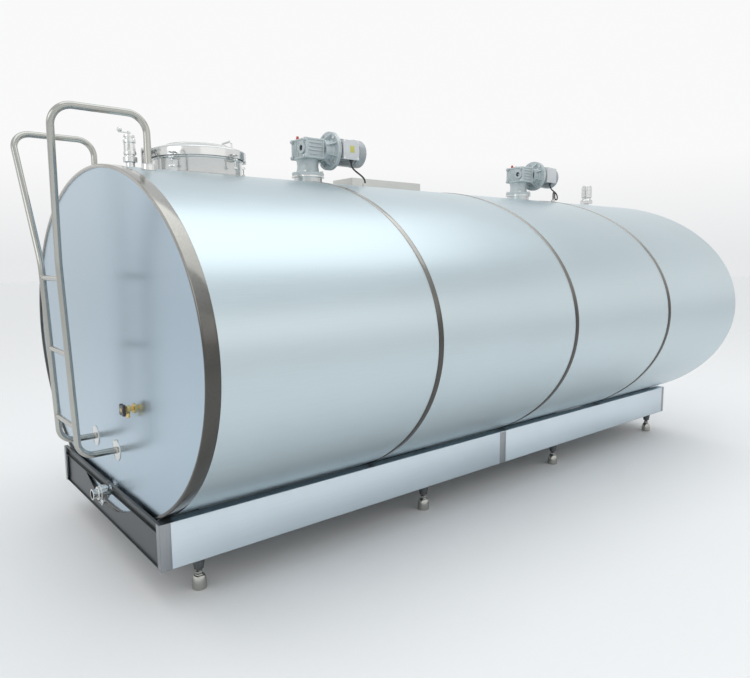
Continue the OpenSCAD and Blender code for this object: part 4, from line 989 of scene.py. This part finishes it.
def build_base():
    skirt_low, skirt_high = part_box("skirt_panels")
    half = skirt_high.y / MM
    z0 = skirt_low.z / MM
    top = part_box("ledge_plates")[1].z / MM
    end = edges_x("base_frame")[1] + 2
    post_w, post_t, rail_h = 30, 3, 42
    joint_low, joint_high = JOINT_X - 26, JOINT_X + 26

    sides = Form()
    for s in (-1, 1):
        for x0, x1 in ((post_w - 2, joint_low), (joint_high, end - post_w)):
            sides.side_block(s, (x0 + 0.4, half - 2, z0), (x1 - 0.4, half, top - 3.2), 0.7)
            # Folded lower lip
            sides.side_block(s, (x0 + 0.6, half - 16, z0), (x1 - 0.6, half, z0 + 2), 0.7)
    # Rear panel, cut to the oval above it
    rear = [(y, min(top - 3.2, AXIS_Z - HALF_H * math.sqrt(max(0.0, 1 - (y / HALF_W) ** 2))))
            for y in [(half - 3.4) * (k / 30 - 1) for k in range(61)]]
    for (ya, za), (yb, zb) in zip(rear, rear[1:]):
        sides.rings([[Vector((x, y, z)) for y, z in ((ya, z0), (yb, z0), (yb, zb),
                                                     (ya, za))] for x in (end - 2, end)])
    sides.piece("side_skirts", FRONT, ["skirt_panels"], "base_steel", SKIRT)

    # Front panel, cut to an arc under the rail; its dark colour is painted shade for a face turned away from
    # the light
    panel = Form()
    arc_r, arc_low = 720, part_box("front_edge_band")[0].z / MM + 1
    rail_low = top - rail_h
    reach = math.sqrt(arc_r ** 2 - (arc_low + arc_r - rail_low) ** 2)
    inside = half - post_t
    arc = [(y, arc_low + arc_r - math.sqrt(arc_r ** 2 - y ** 2))
           for y in [-reach + 2 * reach * k / 60 for k in range(61)]]
    back, front = -2.0, -4.0
    for (ya, za), (yb, zb) in zip(arc, arc[1:]):
        panel.rings([[Vector((x, y, z)) for y, z in ((ya, z0), (yb, z0), (yb, zb),
                                                     (ya, za))] for x in (front, back)])
    for s in (-1, 1):
        panel.side_block(s, (front, reach, z0), (back, inside, rail_low), 0)
    panel.block((-12, -inside, z0), (back, inside, z0 + 2), edge=0.7)
    panel.piece("front_skirt", FRONT, slot="dark_steel", mat=DARK_AND_SHADED)

    # Front rail, dark as painted shade for a face turned away from the light
    rail = Form()
    cut = 22
    for y0, y1 in ((-inside, OUTLET_Y - cut), (OUTLET_Y + cut, inside)):
        rail.block((-4, y0, rail_low), (-2, y1, top), edge=0.7)
        rail.block((-14, y0, rail_low), (-2, y1, rail_low + 2), edge=0.7)
        rail.block((-14, y0, top - 2), (-2, y1, top), edge=0.7)
    rail.block((-14, OUTLET_Y - cut - 1, top - 2), (-2, OUTLET_Y + cut + 1, top), edge=0.5)
    rail.piece("front_rail_fold", FRONT, ["front_rail"], "dark_steel", DARK_AND_SHADED)

    # Corner posts, in steel darkened as painted shade
    posts = Form()
    for s in (-1, 1):
        posts.side_block(s, (-14, half - post_t, z0), (post_w - 2, half, top), 1.2)
        posts.side_block(s, (end - post_w, half - post_t, z0), (end, half, top), 1.2)
        posts.side_block(s, (joint_low, half - post_t, z0), (joint_high, half - 1, top - 3.2), 0.5)
        posts.side_block(s, (-17, half - post_w, z0), (-14, half, top), 1.2)
        for z in (z0 + 24, top - 24):
            posts.turn([(0, half - 1), (6, half - 1), (6, half - 0.6), (4, half - 0.1), (0, half - 0.1)],
                       basis((JOINT_X, 0, z), z=(0, s, 0)), 24)
    posts.piece("corner_angles", FRONT, ["corner_posts"], "dark_steel", SHADED_POST)

    feet, sockets = Form(), Form()
    for x in FEET_X:
        for s in (-1, 1):
            m = Matrix.Translation((x, s * (half - 76), 0))
            feet.turn([(0, 0), (27, 0), (29.4, 0.8), (30, 3), (30, 14), (29, 20)]
                      + [(17 + 12 * math.cos(math.radians(a)), 20 + 38 * math.sin(math.radians(a)))
                         for a in range(6, 91, 7)] + [(16, 60), (14.5, 62), (11, 64), (0, 64)], m, 56)
            feet.hexagon(64, 73, 15, m)
            thread = [(11 if k % 2 else 10.1, 73 + k * 1.2) for k in range(0, 8)]
            feet.turn([(0, 72)] + thread + [(0, 83)], m, 40)
            sockets.turn([(0, 82), (18, 82), (19.4, 83.4), (30, 149), (30, 152), (0, 152)], m, 56)
            sockets.block((-75, -66, 150), (75, 66, 160), m, 1.5)
            sockets.turn([(30, 146), (32.5, 150.2), (30, 150.2)], m, 56, closed=True)
    feet.piece("feet", FRONT, ["levelling_feet"], "bright_steel", TUBE)
    sockets.piece("foot_tubes", FRONT, ["foot_sockets"], "dark_steel", DARK_AND_SHADED)



build_body()
build_ladder()
build_manway()
for drive in (1, 2):
    build_drive(drive)
build_top_fittings()
build_front_fittings()
build_base()

# CAD nodes that show as they are, with new materials; the ledge plates, the cable duct and the base frame also
# with their edges softened
KEPT = {
    "base_frame": DARK_AND_SHADED, "ledge_plates": SKIRT, "cable_duct": DUCT, "insulation": FOAM, "inner_vessel": VESSEL,
    "cooling_plate": VESSEL, "worm_wheel_1": BRASS, "worm_wheel_2": BRASS, "rotor_1": VESSEL,
        "rotor_2": VESSEL,
    "agitator_shaft_1": VESSEL, "agitator_shaft_2": VESSEL, "agitator_paddle_1": VESSEL,
        "agitator_paddle_2": VESSEL,
}
for name, mat in KEPT.items():
    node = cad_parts[name]
    node.data.materials.clear()
    node.data.materials.append(mat)
for name in ("ledge_plates", "cable_duct", "base_frame"):
    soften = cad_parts[name].modifiers.new("soften", "BEVEL")
    soften.width = 0.8 * MM
    soften.segments = 2
    soften.limit_method = "ANGLE"
    soften.angle_limit = math.radians(40)


# ---------------------------------------------------------------- studio

def light(name, at, aim, size, power, colour=(1, 1, 1)):
    data = bpy.data.lights.new(name, "AREA")
    data.shape = "RECTANGLE"
    data.size, data.size_y = size
    data.energy = power
    data.color = colour
    lamp = bpy.data.objects.new(name, data)
    lamp.location = at
    lamp.rotation_mode = "QUATERNION"
    lamp.rotation_quaternion = (Vector(aim) - Vector(at)).to_track_quat("-Z", "Y")
    bpy.context.scene.collection.objects.link(lamp)


light("overhead", (0.3, -0.6, 6.0), (0.3, 0, 0.8), (8, 4.5), 90, (1.0, 1.0, 1.0))
light("side", (0.5, -6.5, 3.6), (0.2, 0, 0.9), (8, 2.6), 16, (1.0, 0.99, 0.97))
light("end", (-6.5, -1.0, 3.2), (-1.8, 0, 0.9), (3.0, 2.4), 25, (0.95, 0.98, 1.0))

world = bpy.data.worlds.new("studio")
bpy.context.scene.world = world
world.use_nodes = True
tree = world.node_tree
sky = tree.nodes.new("ShaderNodeTexCoord")
height = tree.nodes.new("ShaderNodeSeparateXYZ")
tree.links.new(sky.outputs["Generated"], height.inputs[0])
bands = tree.nodes.new("ShaderNodeValToRGB")
tree.links.new(height.outputs["Z"], bands.inputs["Fac"])
stops = bands.color_ramp.elements
stops[0].position, stops[0].color = 0.0, (0.80, 0.81, 0.82, 1)
stops[1].position, stops[1].color = 1.0, (0.90, 0.93, 0.95, 1)
for position, colour in ((0.14, (0.95, 0.95, 0.95, 1)), (0.38, (0.95, 0.95, 0.95, 1)),
                         (0.5, (0.72, 0.74, 0.75, 1)),
                         (0.7, (0.80, 0.83, 0.85, 1))):
    stops.new(position).color = colour
tree.links.new(bands.outputs["Color"], tree.nodes["Background"].inputs["Color"])
tree.nodes["Background"].inputs["Strength"].default_value = 1.0

floor = Form()
floor.block((-40000, -40000, -20), (40000, 40000, -0.5), edge=0)
floor_mesh = floor.mesh("floor", Matrix.Identity(4), 30)
ground = bpy.data.objects.new("floor", floor_mesh)
bpy.context.scene.collection.objects.link(ground)
ground.data.materials.append(shader("floor_pale", (0.90, 0.90, 0.90), 0.0, 0.7, grain=40, mottle=1.5,
                                    shade=0.01, bump=0.0001))

bpy.context.scene.view_settings.view_transform = "Standard"
